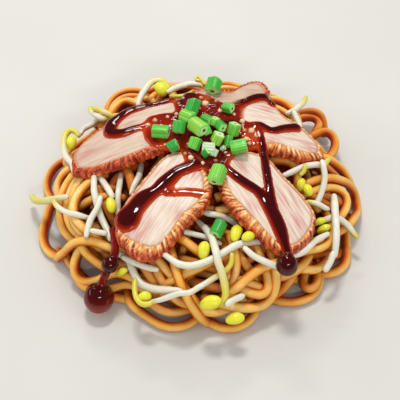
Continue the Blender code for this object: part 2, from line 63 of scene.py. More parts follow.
def start_material(name, roughness):
    """An empty material with its Principled shader."""
    material = bpy.data.materials.new(name)
    material.use_nodes = True
    tree = material.node_tree
    shader = tree.nodes["Principled BSDF"]
    shader.inputs["Roughness"].default_value = roughness
    return material, tree, shader


def add_node(tree, kind, settings=None, **given):
    """A node with its settings, and its inputs given as numbers, colours or other nodes' outputs."""
    node = tree.nodes.new("ShaderNode" + kind)
    for key, value in (settings or {}).items():
        setattr(node, key, value)
    for key, value in given.items():
        name = key.replace("_", " ").strip()
        socket = node.inputs[int(name)] if name.isdigit() else node.inputs[name]
        if isinstance(value, bpy.types.NodeSocket):
            tree.links.new(value, socket)
        else:
            socket.default_value = value
    return node


def kept_value(tree, name):
    """A number kept at the mesh's points."""
    return add_node(tree, "Attribute", {"attribute_name": name}).outputs["Fac"]


def blend(tree, share, low, high, mode="MIX"):
    """One colour turning into another by a share."""
    return add_node(tree, "Mix", {"data_type": "RGBA", "blend_type": mode}, _0=share, _6=low, _7=high).outputs[2]


def ramp(tree, value, low, high):
    """A value eased from 0 at its low end to 1 at its high end."""
    return add_node(tree, "MapRange", {"interpolation_type": "SMOOTHSTEP"},
                    Value=value, From_Min=low, From_Max=high).outputs["Result"]


def start_group(name, inputs, outputs):
    """A shader node group with named sockets, its inputs as outputs to draw on, and its results."""
    group = bpy.data.node_groups.new(name, "ShaderNodeTree")
    for way, sockets in (("INPUT", inputs), ("OUTPUT", outputs)):
        for label, kind in sockets.items():
            group.interface.new_socket(label, in_out=way, socket_type="NodeSocket" + kind)
    return group, group.nodes.new("NodeGroupInput").outputs, group.nodes.new("NodeGroupOutput").inputs


# A soft unevenness, as a value and as a share eased from 0 at Low to 1 at High: the table's mottle,
# the noodles' clouds and specks, the meat's fibres and the onion's veins
cloud_group, given, result = start_group(
    "soft_cloud", {"Place": "Vector", "Scale": "Float", "Detail": "Float", "Low": "Float", "High": "Float"},
    {"Value": "Float", "Share": "Float"})
cloud = add_node(cloud_group, "TexNoise", Vector=given["Place"], Scale=given["Scale"], Detail=given["Detail"])
cloud_group.links.new(cloud.outputs["Fac"], result["Value"])
cloud_group.links.new(ramp(cloud_group, cloud.outputs["Fac"], given["Low"], given["High"]), result["Share"])


def soft_cloud(tree, place, scale, detail, low=0.0, high=1.0):
    """The soft unevenness placed in a material: its value, then its share."""
    return add_node(tree, "Group", {"node_tree": cloud_group}, Place=place, Scale=scale, Detail=detail,
                    Low=low, High=high).outputs


floor_mesh = bpy.data.meshes.new("table_top")
floor_mesh.from_pydata([(-3, -3, 0), (3, -3, 0), (3, 3, 0), (-3, 3, 0)], [], [(0, 1, 2, 3)])
floor = bpy.data.objects.new("table_top", floor_mesh)
scene.collection.objects.link(floor)
table_look, tree, shader = start_material("pale_table", 0.9)
place = add_node(tree, "TexCoord").outputs["Object"]
mottle = soft_cloud(tree, place, 9.0, 4.0, 0.3, 0.7)["Share"]
tree.links.new(blend(tree, mottle, (0.635, 0.635, 0.607, 1), (0.66, 0.66, 0.632, 1)),
               shader.inputs["Base Color"])
shader.inputs["Specular IOR Level"].default_value = 0.1
floor_mesh.materials.append(table_look)

world = bpy.data.worlds.new("soft_room")
world.use_nodes = True
room = world.node_tree.nodes["Background"]
room.inputs["Color"].default_value = (1.0, 0.985, 0.96, 1)
# the room is dimmer where it is only mirrored, so that wet things stay dark between highlights
mirrored = world.node_tree.nodes.new("ShaderNodeLightPath")
dimmed = world.node_tree.nodes.new("ShaderNodeMapRange")
dimmed.inputs["To Min"].default_value = 0.64
dimmed.inputs["To Max"].default_value = 0.09
world.node_tree.links.new(mirrored.outputs["Is Glossy Ray"], dimmed.inputs["Value"])
world.node_tree.links.new(dimmed.outputs["Result"], room.inputs["Strength"])
scene.world = world


def add_softbox(name, place, size, power, aim=(0.0, 0.0, 0.02), tint=(1.0, 0.98, 0.95)):
    """A rounded soft light that faces the food."""
    lamp = bpy.data.lights.new(name, "AREA")
    lamp.shape = "ELLIPSE"
    lamp.size = size[0]
    lamp.size_y = size[1]
    lamp.energy = power
    lamp.color = tint
    made = bpy.data.objects.new(name, lamp)
    made.location = place
    made.rotation_mode = "QUATERNION"
    made.rotation_quaternion = (Vector(aim) - Vector(place)).to_track_quat("-Z", "Y")
    scene.collection.objects.link(made)


add_softbox("window_light", (-0.06, 0.30, 1.10), (0.24, 0.16), 5.4)
add_softbox("back_window", (-0.10, 0.74, 0.72), (0.34, 0.10), 1.6)
add_softbox("side_window", (-0.80, 0.12, 0.30), (0.70, 0.06), 0.65)
add_softbox("front_fill", (0.20, -1.0, 0.75), (0.55, 0.07), 2.7)

lens = bpy.data.cameras.new("camera")
lens.sensor_width = 36.0
lens.lens = 90.0
lens.clip_start = 0.01
lens.clip_end = 10.0
camera = bpy.data.objects.new("camera", lens)
looks_down = math.radians(50.0)
away = Vector((0.0, -math.cos(looks_down), math.sin(looks_down)))
aim_at = Vector(CROWN * MM) + Vector((0.0, -0.002, 0.0))
camera.location = aim_at + away * 0.590
camera.rotation_mode = "QUATERNION"
camera.rotation_quaternion = (-away).to_track_quat("-Z", "Y")
scene.collection.objects.link(camera)
scene.camera = camera
scene.view_settings.view_transform = "Standard"
scene.view_settings.look = "None"

# ---------------------------------------------------------------------------------------------
# The noodles: thick wheat noodles, boiled and then fried with sauce, golden and orange-brown.
# Each strand is painted lighter on its outer side and darker on its inner side, painted highlight
# and shade, and the deep strands are darker and redder, painted shade deep in the heap where the
# sauce also gathers. They lie loose over each other in a heap. A dark core of painted shade closes
# the middle of the heap, where no noodle can be told from the next.
# ---------------------------------------------------------------------------------------------
NOODLE = 2.6            # radius of a noodle


def mesh_of(node):
    """A CAD node's shape, in millimetres from the crown, for casting rays at."""
    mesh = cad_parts[node].data
    points = [Vector(v.co) * 1000 - Vector(CROWN) for v in mesh.vertices]
    return BVHTree.FromPolygons(points, [tuple(p.vertices) for p in mesh.polygons])


def add_mesh(name, points, faces, material, values=None, smooth=True):
    """A mesh given in millimetres from the crown. Values are numbers kept at its points."""
    mesh = bpy.data.meshes.new(name)
    placed = (np.asarray(points, float) + CROWN) * MM
    mesh.from_pydata(placed.tolist(), [], [tuple(int(i) for i in f) for f in faces])
    for key, numbers in (values or {}).items():
        made = mesh.attributes.new(key, "FLOAT", "POINT")
        made.data.foreach_set("value", np.asarray(numbers, np.float32))
    if smooth:
        mesh.shade_smooth()
    mesh.materials.append(material)
    piece = bpy.data.objects.new(name, mesh)
    scene.collection.objects.link(piece)
    return piece


heap_shape = mesh_of("noodle_heap")
PROFILE_SIDES = 90
PROFILE_STEPS = 40


def heap_profiles():
    """Points down the heap's surface at even steps of length, from the crown, for each side."""
    table = np.zeros((PROFILE_SIDES, PROFILE_STEPS + 1, 3))
    length = np.zeros(PROFILE_SIDES)
    for side in range(PROFILE_SIDES):
        turn = 2 * math.pi * side / PROFILE_SIDES
        out = Vector((math.cos(turn), math.sin(turn), 0))
        line = []
        # rays from inside, fanned from straight up to level
        for lean in np.linspace(0, math.pi / 2 - 0.01, 120):
            ray = Vector((out.x * math.sin(lean), out.y * math.sin(lean), math.cos(lean)))
            line.append(np.array(heap_shape.ray_cast(Vector((0, 0, 0.5)), ray)[0]))
        line = np.array(line)
        along = np.concatenate([[0], np.cumsum(np.linalg.norm(np.diff(line, axis=0), axis=1))])
        at = np.linspace(0, along[-1], PROFILE_STEPS + 1)
        table[side] = np.stack([np.interp(at, along, line[:, k]) for k in range(3)], axis=1)
        length[side] = along[-1]
    return table, length


profiles, profile_lengths = heap_profiles()


def on_heap(u, v, shrink):
    """The place on the heap, shrunk towards its middle, at an unrolled distance from the crown."""
    turn = np.arctan2(v, u) % (2 * math.pi)
    far = np.hypot(u, v)
    side = turn / (2 * math.pi) * PROFILE_SIDES
    low = np.floor(side).astype(int)
    part = side - low
    found = 0
    for which, weight in ((low, 1 - part), (low + 1, part)):
        which = which % PROFILE_SIDES
        step = np.clip(far / profile_lengths[which], 0, 0.999) * PROFILE_STEPS
        base = np.floor(step).astype(int)
        rest = (step - base)[:, None]
        found = found + weight[:, None] * (profiles[which, base] * (1 - rest)
                                           + profiles[which, base + 1] * rest)
    found = found * np.array([shrink[0], shrink[0], shrink[1]])
    found[:, 2] = np.maximum(found[:, 2], NOODLE)
    return found


def outward(points):
    """The way out of the heap at some places: up on its top and outwards at its foot."""
    way = points * np.array([1 / 92.0 ** 2, 1 / 88.0 ** 2, 1 / 52.0 ** 2]) \
        + np.array([0, 0, 1]) * 0.0035
    return way / np.linalg.norm(way, axis=1)[:, None]


def smooth_line(points, spacing):
    """Even steps along a Catmull-Rom curve through the given points."""
    knots = np.array(points, float)
    ends = np.vstack([2 * knots[0] - knots[1], knots, 2 * knots[-1] - knots[-2]])
    fine = []
    for k in range(len(ends) - 3):
        a, b, c, d = ends[k:k + 4]
        for t in np.linspace(0, 1, 12, endpoint=False):
            fine.append(0.5 * (2 * b + (c - a) * t + (2 * a - 5 * b + 4 * c - d) * t ** 2
                               + (3 * b - a - 3 * c + d) * t ** 3))
    fine = np.array(fine + [ends[-2]])
    along = np.concatenate([[0], np.cumsum(np.linalg.norm(np.diff(fine, axis=0), axis=1))])
    at = np.linspace(0, along[-1], max(4, int(round(along[-1] / spacing)) + 1))
    return np.stack([np.interp(at, along, fine[:, k]) for k in range(fine.shape[1])], axis=1)


def blurred(values, reach):
    """A running mean along a line, with its ends held level."""
    wide = np.pad(values, [(reach, reach)] + [(0, 0)] * (values.ndim - 1), mode="edge")
    total = np.cumsum(np.concatenate([wide[:1] * 0, wide]), axis=0)
    return (total[2 * reach + 1:] - total[:-2 * reach - 1]) / (2 * reach + 1)


slice_shapes = [mesh_of("pork_slice_" + where) for where in
                ("left", "front_left", "front_right", "right", "back")]


def slice_underside(x, y):
    """How high the lowest slice over a place lies, or None where nothing lies over it."""
    hits = [shape.ray_cast(Vector((x, y, 0.1)), Vector((0, 0, 1)))[0] for shape in slice_shapes]
    heights = [hit.z for hit in hits if hit is not None]
    return min(heights) if heights else None


laid_points = np.zeros((0, 3))
laid_radii = np.zeros(0)


def lay(line, radii, tails=0, droop=0.5, press=0.7, inward=False):
    """Lift a line of round section out of the heap until it clears all that was laid before, or
    sink it until it clears from below, and remember it. The strands press into each other a
    little, the shift eases in and out like a limp strand's, and the tails go wherever it leads."""
    global laid_points, laid_radii
    ways = outward(line) * (-1 if inward else 1)
    radii = np.broadcast_to(radii, len(line))
    reach = radii.max() * 2 + 12
    near = np.all((laid_points > line.min(axis=0) - reach)
                  & (laid_points < line.max(axis=0) + reach), axis=1)
    shift = np.zeros(len(line))
    if near.any():
        others = laid_points[near]
        apart = line[:, None, :] - others[None, :, :]
        along = (apart * ways[:, None, :]).sum(axis=2)
        need = (radii[:, None] + laid_radii[near][None, :] - press) ** 2
        inside = along ** 2 - (apart ** 2).sum(axis=2) + need
        out = np.where(inside > 0, -along + np.sqrt(np.maximum(inside, 0)), 0)
        shift = np.clip(np.where(out < 12, out, 0).max(axis=1), 0, None)
    if tails:
        shift[:tails] = 0
        shift[-tails:] = 0
    step = np.linalg.norm(line[1] - line[0]) * droop
    eased = shift.copy()
    for k in range(1, len(line)):
        eased[k] = max(eased[k], eased[k - 1] - step)
    for k in range(len(line) - 2, -1, -1):
        eased[k] = max(eased[k], eased[k + 1] - step)
    for _ in range(3):
        soft = blurred(eased, 4)
        eased = soft + blurred(np.maximum(0, shift - soft), 3) * 1.2
    placed = line + ways * eased[:, None]
    for k in range(len(placed)):
        lid = slice_underside(placed[k, 0], placed[k, 1])
        if lid is not None:
            placed[k, 2] = min(placed[k, 2], lid - 1.0)
    placed = blurred(blurred(placed, 2), 1)
    placed[:, 2] = np.maximum(placed[:, 2], radii)
    laid_points = np.vstack([laid_points, placed])
    laid_radii = np.concatenate([laid_radii, radii])
    return placed


def frames_along(line):
    """Two directions square to a line at each point, turning as little as they can."""
    ahead = np.gradient(line, axis=0)
    ahead /= np.linalg.norm(ahead, axis=1)[:, None] + 1e-9
    side = np.cross(ahead[0], (0.0, 0.0, 1.0))
    if np.linalg.norm(side) < 0.1:
        side = np.cross(ahead[0], (1.0, 0.0, 0.0))
    first = np.zeros_like(line)
    for k in range(len(line)):
        side = side - ahead[k] * side.dot(ahead[k])
        side /= np.linalg.norm(side)
        first[k] = side
    return first, np.cross(first, ahead)


def tubes(strands, sides):
    """Round strands as one mesh. Each strand is (line, radii, values), and the values crest, from
    1 on a strand's outward side to 0 on its inward side, and along, in millimetres, are added."""
    points, faces, values, start = [], [], {}, 0
    angles = 2 * math.pi * np.arange(sides) / sides
    for line, radii, extra in strands:
        count = len(line)
        first, second = frames_along(line)
        ring = (first[:, None, :] * np.cos(angles)[None, :, None]
                + second[:, None, :] * np.sin(angles)[None, :, None])
        points.append((line[:, None, :] + ring * radii[:, None, None]).reshape(-1, 3))
        k = np.arange(count - 1)[:, None]
        s = np.arange(sides)[None, :]
        n = (s + 1) % sides
        quads = np.stack([k * sides + s, k * sides + n, (k + 1) * sides + n, (k + 1) * sides + s],
                         axis=2).reshape(-1, 4) + start
        faces += quads.tolist()
        faces.append(list(range(start + sides - 1, start - 1, -1)))
        faces.append(list(range(start + (count - 1) * sides, start + count * sides)))
        steps = np.concatenate([[0], np.cumsum(np.linalg.norm(np.diff(line, axis=0), axis=1))])
        given = {"crest": (0.5 + 0.5 * (ring * outward(line)[:, None, :]).sum(axis=2)).ravel(),
                 "along": np.repeat(steps, sides)}
        for key, number in extra.items():
            given[key] = np.repeat(np.broadcast_to(number, count), sides)
        for key, numbers in given.items():
            values.setdefault(key, []).append(numbers)
        start += count * sides
    skin = np.vstack(points)
    # nothing sinks into the table
    skin[:, 2] = np.maximum(skin[:, 2], 0.0)
    return skin, faces, {key: np.concatenate(v) for key, v in values.items()}


def rounded_ends(radii, step):
    """Draw a strand's radii in to a blunt, rounded end at each end."""
    radii = np.array(radii, float)
    for k in range(min(3, len(radii) // 2)):
        share = math.sqrt(1 - (1 - min(1.0, (k + 0.35) * step / radii[3])) ** 2)
        radii[k] *= share
        radii[-1 - k] *= share
    return radii

chance = np.random.default_rng(41)
NOODLE_STEP = 1.6


def wander(start, heading, length, least, most):
    """A strand that curls over the unrolled heap, kept between two shares of the way down."""
    spot = np.array(start, float)
    path = [spot.copy()]
    curl = chance.normal(0, 0.020)
    swing = chance.uniform(0, 2 * math.pi)
    for k in range(int(length / 4)):
        reach = profile_lengths[int((math.atan2(spot[1], spot[0]) % (2 * math.pi))
                                    / (2 * math.pi) * PROFILE_SIDES) % PROFILE_SIDES]
        share = np.hypot(*spot) / reach
        bend = curl + 0.022 * math.sin(swing + k * 0.33)
        # turn back from the heap's foot and from under the slices
        if share > most - 0.06 or share < least + 0.05:
            wanted = spot if share < least + 0.05 else -spot
            cross = math.cos(heading) * wanted[1] - math.sin(heading) * wanted[0]
            bend = 0.055 * (1 if cross > 0 else -1)
        heading += bend * 4
        spot = spot + 4 * np.array([math.cos(heading), math.sin(heading)])
        far = np.hypot(*spot)
        spot *= min(1.0, most * reach / far)
        path.append(spot.copy())
    return np.array(path)


def noodle(line, depth):
    """A strand from its line: its own slight unevenness, its depth in the heap and its tone."""
    count = len(line)
    wave = blurred(chance.normal(0, 1, count + 8), 4)[:count]
    radii = rounded_ends(NOODLE * (1 + chance.normal(0, 0.035)) * (1 + 0.07 * wave), NOODLE_STEP)
    return line, radii, {"depth": depth, "tone": chance.uniform(0, 1)}


def filler_layer(count, shrink, least, most, depth, turns=(0, 2 * math.pi), inward=True):
    """Strands that lie anywhere over one depth of the heap, most of them round it."""
    made = []
    for k in range(count):
        turn = turns[0] + (turns[1] - turns[0]) * (k + chance.uniform(0, 1)) / count
        reach = profile_lengths[int((turn % (2 * math.pi)) / (2 * math.pi) * PROFILE_SIDES)]
        share = chance.uniform(least + 0.08, most - 0.03) ** 0.8
        start = np.array([math.cos(turn), math.sin(turn)]) * reach * min(share, most)
        heading = turn + math.pi / 2 * chance.choice([-1, 1]) + chance.normal(0, 0.75)
        path = wander(start, heading, chance.uniform(60, 130), least, most)
        flat = smooth_line(path, NOODLE_STEP)
        line = on_heap(flat[:, 0], flat[:, 1], shrink)
        line = smooth_line(blurred(line, 2), NOODLE_STEP)
        made.append(noodle(lay(line, NOODLE, inward=inward), depth))
    return made


# The long strands that show on the front and the sides, from the lowest laid to the highest: how
# deep each lies, from 0 on the heap to 1 in the dark; how high its loops stand, or None where it
# follows the heap; and the points that it passes through
LONG_STRANDS = [
    (1, None, [(-81, -18), (-82, -28), (-81, -34), (-79, -39), (-72, -45)]),
    (1, None, [(-50, -19), (-40, -10)]),
    (1, None, [(71, -55), (80, -51)]),
    (0.8, None, [(-42, -12), (-38, -20), (-39, -25)]),
    (0.8, None, [(-57, -21), (-52, -36)]),
    (0.8, None, [(-11, -81), (-8, -85)]),
    (0.8, None, [(21, -64), (33, -60)]),
    (0.8, None, [(26, -69), (31, -64), (34, -63)]),
    (0.8, None, [(24, -74), (28, -75), (35, -74)]),
    (0.25, 12, [(68, 38), (75, 44), (79, 42), (82, 37), (80, 25), (71, 15)]),
    (0.8, None, [(78, -41), (77, -36), (80, -30)]),
    (0.25, 23, [(-56, 51), (-55, 57), (-50, 64), (-45, 66), (-35, 64)]),
    (0.25, 25, [(-53, 47), (-51, 54), (-47, 58), (-42, 60), (-36, 58)]),
    (0.25, 27, [(-51, 44), (-44, 53), (-36, 52)]),
    (0.25, 30, [(-37, 50), (-31, 53), (-25, 45)]),
    (0.25, 24, [(-58, 44), (-57, 33)]),
    (0.25, 34, [(-19, 52), (-6, 57)]),
    (0.25, 26, [(44, 56), (53, 52), (56, 46)]),
    (0.25, 26, [(43, 50), (52, 44)]),
    (0.25, 10, [(61, 55), (70, 58), (74, 54), (74, 48), (70, 44)]),
    (0.2, 4, [(-78, 25), (-87, 20), (-91, 9), (-89, -1), (-83, -9)]),
    (0.2, 3, [(-83, -7), (-89, -23), (-89, -34), (-85, -43), (-78, -47), (-72, -45), (-66, -38)]),
    (0.7, None, [(-71, -20), (-66, -23), (-58, -22)]),
    (0.2, 3, [(-71, -43), (-65, -59), (-56, -68), (-46, -73), (-35, -75)]),
    (0.7, None, [(-58, -48), (-55, -54), (-52, -57)]),
    (0.7, None, [(-50, -60), (-39, -67), (-35, -67)]),
    (0.7, None, [(-40, -69), (-32, -73)]),
    (0.2, 3, [(-37, -69), (-33, -80), (-20, -92), (-9, -92), (-4, -89), (2, -79)]),
    (0.7, None, [(-20, -66), (-16, -68), (-10, -74)]),
    (0.2, 3, [(2, -87), (10, -93), (20, -93), (28, -87), (31, -79)]),
    (0.2, 3, [(38, -74), (47, -77), (57, -75), (62, -72), (66, -63), (66, -58)]),
    (0.7, None, [(44, -70), (41, -76)]),
    (0.7, None, [(13, -67), (17, -73), (14, -79)]),
    (0.7, None, [(-6, -70), (4, -72), (8, -74)]),
    (0.7, None, [(-1, -80), (13, -82)]),
    (0.7, None, [(70, -22), (76, -20), (88, -20)]),
    (0.2, 3, [(77, -24), (81, -29), (82, -48), (80, -53), (71, -57), (65, -57)]),
    (0.7, None, [(70, 1), (79, 1), (81, -3)]),
    (0.7, None, [(62, -24), (70, -28), (75, -26)]),
    (0.5, 8, [(-30, -77), (-18, -87), (-8, -85)]),
    (0.5, 8, [(56, -49), (55, -71), (58, -73), (62, -71), (64, -67), (63, -55)]),
    (0.5, 8, [(62, 56), (66, 52), (71, 52)]),
    (0.5, None, [(-77, 13), (-76, 0), (-75, -5)]),
    (0.5, None, [(-68, -30), (-60, -29), (-53, -30)]),
    (0.5, None, [(-18, -81), (-12, -87), (-8, -88), (2, -87)]),
    (0.5, None, [(-32, -67), (-25, -77)]),
    (0.5, None, [(-25, -70), (-19, -79)]),
    (0.5, None, [(19, -65), (29, -76)]),
    (0.5, None, [(51, -71), (45, -76)]),
    (0.5, None, [(45, -7), (49, -4), (53, -5), (55, -16)]),
    (0.3, None, [(-75, -3), (-83, -8), (-80, -18)]),
    (0.3, None, [(-65, -50), (-66, -51), (-59, -63), (-44, -68), (-31, -77)]),
    (0.3, None, [(17, -64), (20, -70), (17, -80)]),
    (0.3, None, [(21, -78), (34, -78)]),
    (0.3, None, [(41, -72), (49, -70), (55, -65)]),
    (0.3, None, [(56, -66), (60, -66), (64, -63), (69, -58)]),
    (0.2, None, [(-70, -9), (-74, -10), (-76, -13), (-78, -21), (-78, -36), (-74, -42),
        (-67, -48)]),
    (0.2, None, [(-68, -13), (-73, -19), (-74, -34), (-70, -42), (-64, -47)]),
    (0.2, None, [(-59, -48), (-64, -50), (-64, -51), (-62, -57), (-58, -60), (-48, -63),
        (-36, -71), (-32, -74)]),
    (0.2, None, [(-61, -49), (-60, -51), (-51, -60)]),
    (0.2, None, [(-24, -67), (-10, -81)]),
    (0.2, None, [(-11, -59), (-1, -66)]),
    (0.2, None, [(-13, -78), (6, -71)]),
    (0.2, None, [(-8, -81), (-3, -86), (4, -90), (8, -90), (16, -89)]),
    (0.2, None, [(21, -81), (29, -82), (33, -80), (36, -76), (32, -66)]),
    (0.2, None, [(49, -62), (63, -55), (67, -51)]),
    (0.2, None, [(72, 5), (82, 7), (86, 6), (91, 1)]),
    (0.2, None, [(67, -21), (73, -16), (83, -12), (84, -16), (83, -22), (80, -29)]),
    (0.2, None, [(48, -62), (65, -54), (70, -49), (72, -43), (72, -38)]),
    (0.2, None, [(-49, 43), (-46, 49), (-41, 49), (-37, 43)]),
    (0.0, None, [(-65, -16), (-68, -18), (-70, -23), (-70, -36), (-62, -47)]),
    (0.0, None, [(-60, -20), (-66, -24), (-68, -31), (-66, -39), (-60, -46)]),
    (0.0, None, [(-14, -69), (-8, -83), (0, -90)]),
    (0.0, None, [(11, -87), (15, -88), (26, -87), (31, -85), (38, -78), (38, -66)]),
    (0.0, None, [(17, -82), (31, -71), (40, -67)]),
    (0.0, None, [(67, -15), (79, -7), (86, -4), (91, 0), (91, -15), (83, -33)]),
    (0.1, None, [(-78.5, -45.5), (-73, -48), (-65, -48.5), (-58, -49.5), (-51, -54.5), (-48, -57)]),
]
LOWEST = 6.0            # how far under the heap's surface the deepest long strands lie
TAIL = 8                # steps by which a strand's end runs on under its neighbours


def over_heap(flat, height):
    """Plan points set down on the heap, or on the table beside it."""
    if height is not None:
        return np.column_stack([flat, np.full(len(flat), float(height))])
    tops = []
    for x, y in flat:
        hit = heap_shape.ray_cast(Vector((x, y, 200)), Vector((0, 0, -1)))[0]
        tops.append(NOODLE if hit is None else max(NOODLE, hit.z))
    return np.column_stack([flat, tops])


def with_tails(line):
    """A strand that runs on past both ends and sinks into the heap there."""
    parts = [line]
    for first in (True, False):
        back = min(5, len(line))
        end, inner = (line[0], line[back - 1]) if first else (line[-1], line[-back])
        heading = (end - inner) / np.linalg.norm(end - inner)
        steps = np.arange(1, TAIL + 1)[:, None]
        tail = end + heading * steps * NOODLE_STEP - outward(end[None]) * (steps / TAIL) ** 1.6 * 9
        parts = [tail[::-1]] + parts if first else parts + [tail]
    return np.vstack(parts)


back_strands = filler_layer(20, (0.90, 0.74), 0.50, 0.97, 0.15,
                            (math.radians(30), math.radians(150)), inward=False)
top_strands = []
for depth, height, points in LONG_STRANDS:
    line = over_heap(smooth_line(points, NOODLE_STEP), height)
    line = smooth_line(blurred(blurred(line, 3), 2), NOODLE_STEP)
    if height is None:
        line = line - outward(line) * LOWEST * depth
    else:
        line[:, 2] = max(NOODLE, height)
    line = with_tails(line)
    top_strands.append(noodle(lay(line, NOODLE, tails=TAIL), depth))

upper_strands = filler_layer(44, (0.95, 0.90), 0.24, 0.66, 0.4, (math.radians(10), math.radians(210)))
middle_strands = filler_layer(64, (0.965, 0.93), 0.32, 0.99, 0.45)
deep_strands = filler_layer(60, (0.94, 0.88), 0.30, 0.98, 0.85)

under_mesh = tubes(deep_strands + upper_strands + middle_strands, 8)
top_mesh = tubes(top_strands + back_strands, 10)

# the dark middle, coloured with painted shade: the heap's own shape drawn in, with soft lumps
core_rings = 22
core_points = []
for side in range(PROFILE_SIDES):
    for ring in range(core_rings):
        share = ring / (core_rings - 1) * 0.97 + 0.01
        place = profiles[side, int(share * PROFILE_STEPS)]
        lump = 1 + 0.02 * math.sin(side * 0.7 + ring * 1.3) + 0.015 * math.sin(side * 1.9 - ring * 2.1)
        core_points.append((place[0] * 0.84 * lump, place[1] * 0.84 * lump,
                            max(0.4, place[2] * 0.78 * lump)))
core_faces = []
for side in range(PROFILE_SIDES):
    other = (side + 1) % PROFILE_SIDES
    for ring in range(core_rings - 1):
        core_faces.append((side * core_rings + ring, side * core_rings + ring + 1,
                           other * core_rings + ring + 1, other * core_rings + ring))
core_faces.append([side * core_rings for side in range(PROFILE_SIDES)])
core_faces.append([side * core_rings + core_rings - 1 for side in reversed(range(PROFILE_SIDES))])

# A colour that passes from dark through middle to light as an amount rises: the noodles' tone with
# their painted highlight and shade, the browning of the crust, the sauce's depth of colour and the green of the
# onion
tone_group, given, result = start_group(
    "three_tones",
    {"Amount": "Float", "Dark": "Color", "Middle": "Color", "Light": "Color", "Middle Low": "Float",
     "Middle High": "Float", "Light Low": "Float", "Light High": "Float"}, {"Color": "Color"})
lower = blend(tone_group, ramp(tone_group, given["Amount"], given["Middle Low"], given["Middle High"]),
              given["Dark"], given["Middle"])
tone_group.links.new(blend(tone_group, ramp(tone_group, given["Amount"], given["Light Low"], given["Light High"]),
                           lower, given["Light"]), result["Color"])


def three_tones(tree, amount, colours, middle, light):
    """The three tones placed in a material, with the two spans of the amount that they change in."""
    dark_paint, middle_paint, light_paint = [paint(code) for code in colours]
    return add_node(tree, "Group", {"node_tree": tone_group}, Amount=amount, Dark=dark_paint,
                    Middle=middle_paint, Light=light_paint, Middle_Low=middle[0], Middle_High=middle[1],
                    Light_Low=light[0], Light_High=light[1]).outputs["Color"]


noodle_look, tree, shader = start_material("fried_noodle", 0.42)
place = add_node(tree, "TexCoord").outputs["Object"]
crest = kept_value(tree, "crest")
depth = kept_value(tree, "depth")
tone = kept_value(tree, "tone")
grain = soft_cloud(tree, place, 900.0, 3.0, 0.3, 0.62)
cloud = soft_cloud(tree, place, 70.0, 3.0, 0.35, 0.7)
# each strand lighter on its outer side and darker on its inner side: painted highlight and shade, with the sauce
# that gathers on the inner side and a random unevenness
uneven_and_lit_side = add_node(tree, "Math", {"operation": "MULTIPLY_ADD"}, _0=cloud["Value"], _1=0.35,
                  _2=crest).outputs[0]
body = three_tones(tree, uneven_and_lit_side, ("A03808", "E2922A", "F8CE78"), (0.60, 1.00), (0.90, 1.14))
# pale cream streaks along the strands' outer sides: painted highlight
pale = blend(tree, cloud["Share"], paint("F6CC7C"), paint("FFF2C8"))
painted_highlight_streak = add_node(tree, "Math", {"operation": "MULTIPLY"}, _0=ramp(tree, uneven_and_lit_side, 1.02, 1.26),
                  _1=grain["Share"]).outputs[0]
body = blend(tree, painted_highlight_streak, body, pale)
# strands deep in the heap darker and redder: painted shade in its hollows, with the sauce that soaks them, and
# lighter on their outer side as painted highlight
deep = blend(tree, crest, paint("74220A"), paint("CC7226"))
body = blend(tree, ramp(tree, depth, 0.1, 1.05), body, deep)
warm = blend(tree, 1.0, body, blend(tree, tone, paint("FFF2CC"), paint("F8DCAC")), "MULTIPLY")
tree.links.new(warm, shader.inputs["Base Color"])
dimple = add_node(tree, "Bump", Strength=0.12, Distance=0.0004, Height=grain["Value"])
tree.links.new(dimple.outputs["Normal"], shader.inputs["Normal"])
shader.inputs["Specular IOR Level"].default_value = 0.25

# its dark brown is painted shade in the middle of the heap
core_look, tree, shader = start_material("painted_shade_middle", 0.8)
shader.inputs["Base Color"].default_value = paint("74300C")
shader.inputs["Specular IOR Level"].default_value = 0.1

core = add_mesh("noodle_core", core_points, core_faces, core_look)
under = add_mesh("noodles_under", *under_mesh[:2], noodle_look, under_mesh[2])
top = add_mesh("noodles_top", *top_mesh[:2], noodle_look, top_mesh[2])
for piece in (core, under, top):
    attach(piece, "root")
for piece in (under, top):
    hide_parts("noodle_heap")

# ---------------------------------------------------------------------------------------------
# The pork: five slices of roast belly, 6 mm thick, fanned out over the noodles with their inner
# ends under the sauce. The meat is cream with pink streaks along its grain, and the skin side is
# a hard, blistered crust, golden where it is high and red-brown in its cracks.
# ---------------------------------------------------------------------------------------------
SLICE_THICK = 6.0
SLICE_EDGE = 230        # points round a slice
SLICE_RINGS = 34        # rings of points between a slice's middle and its edge

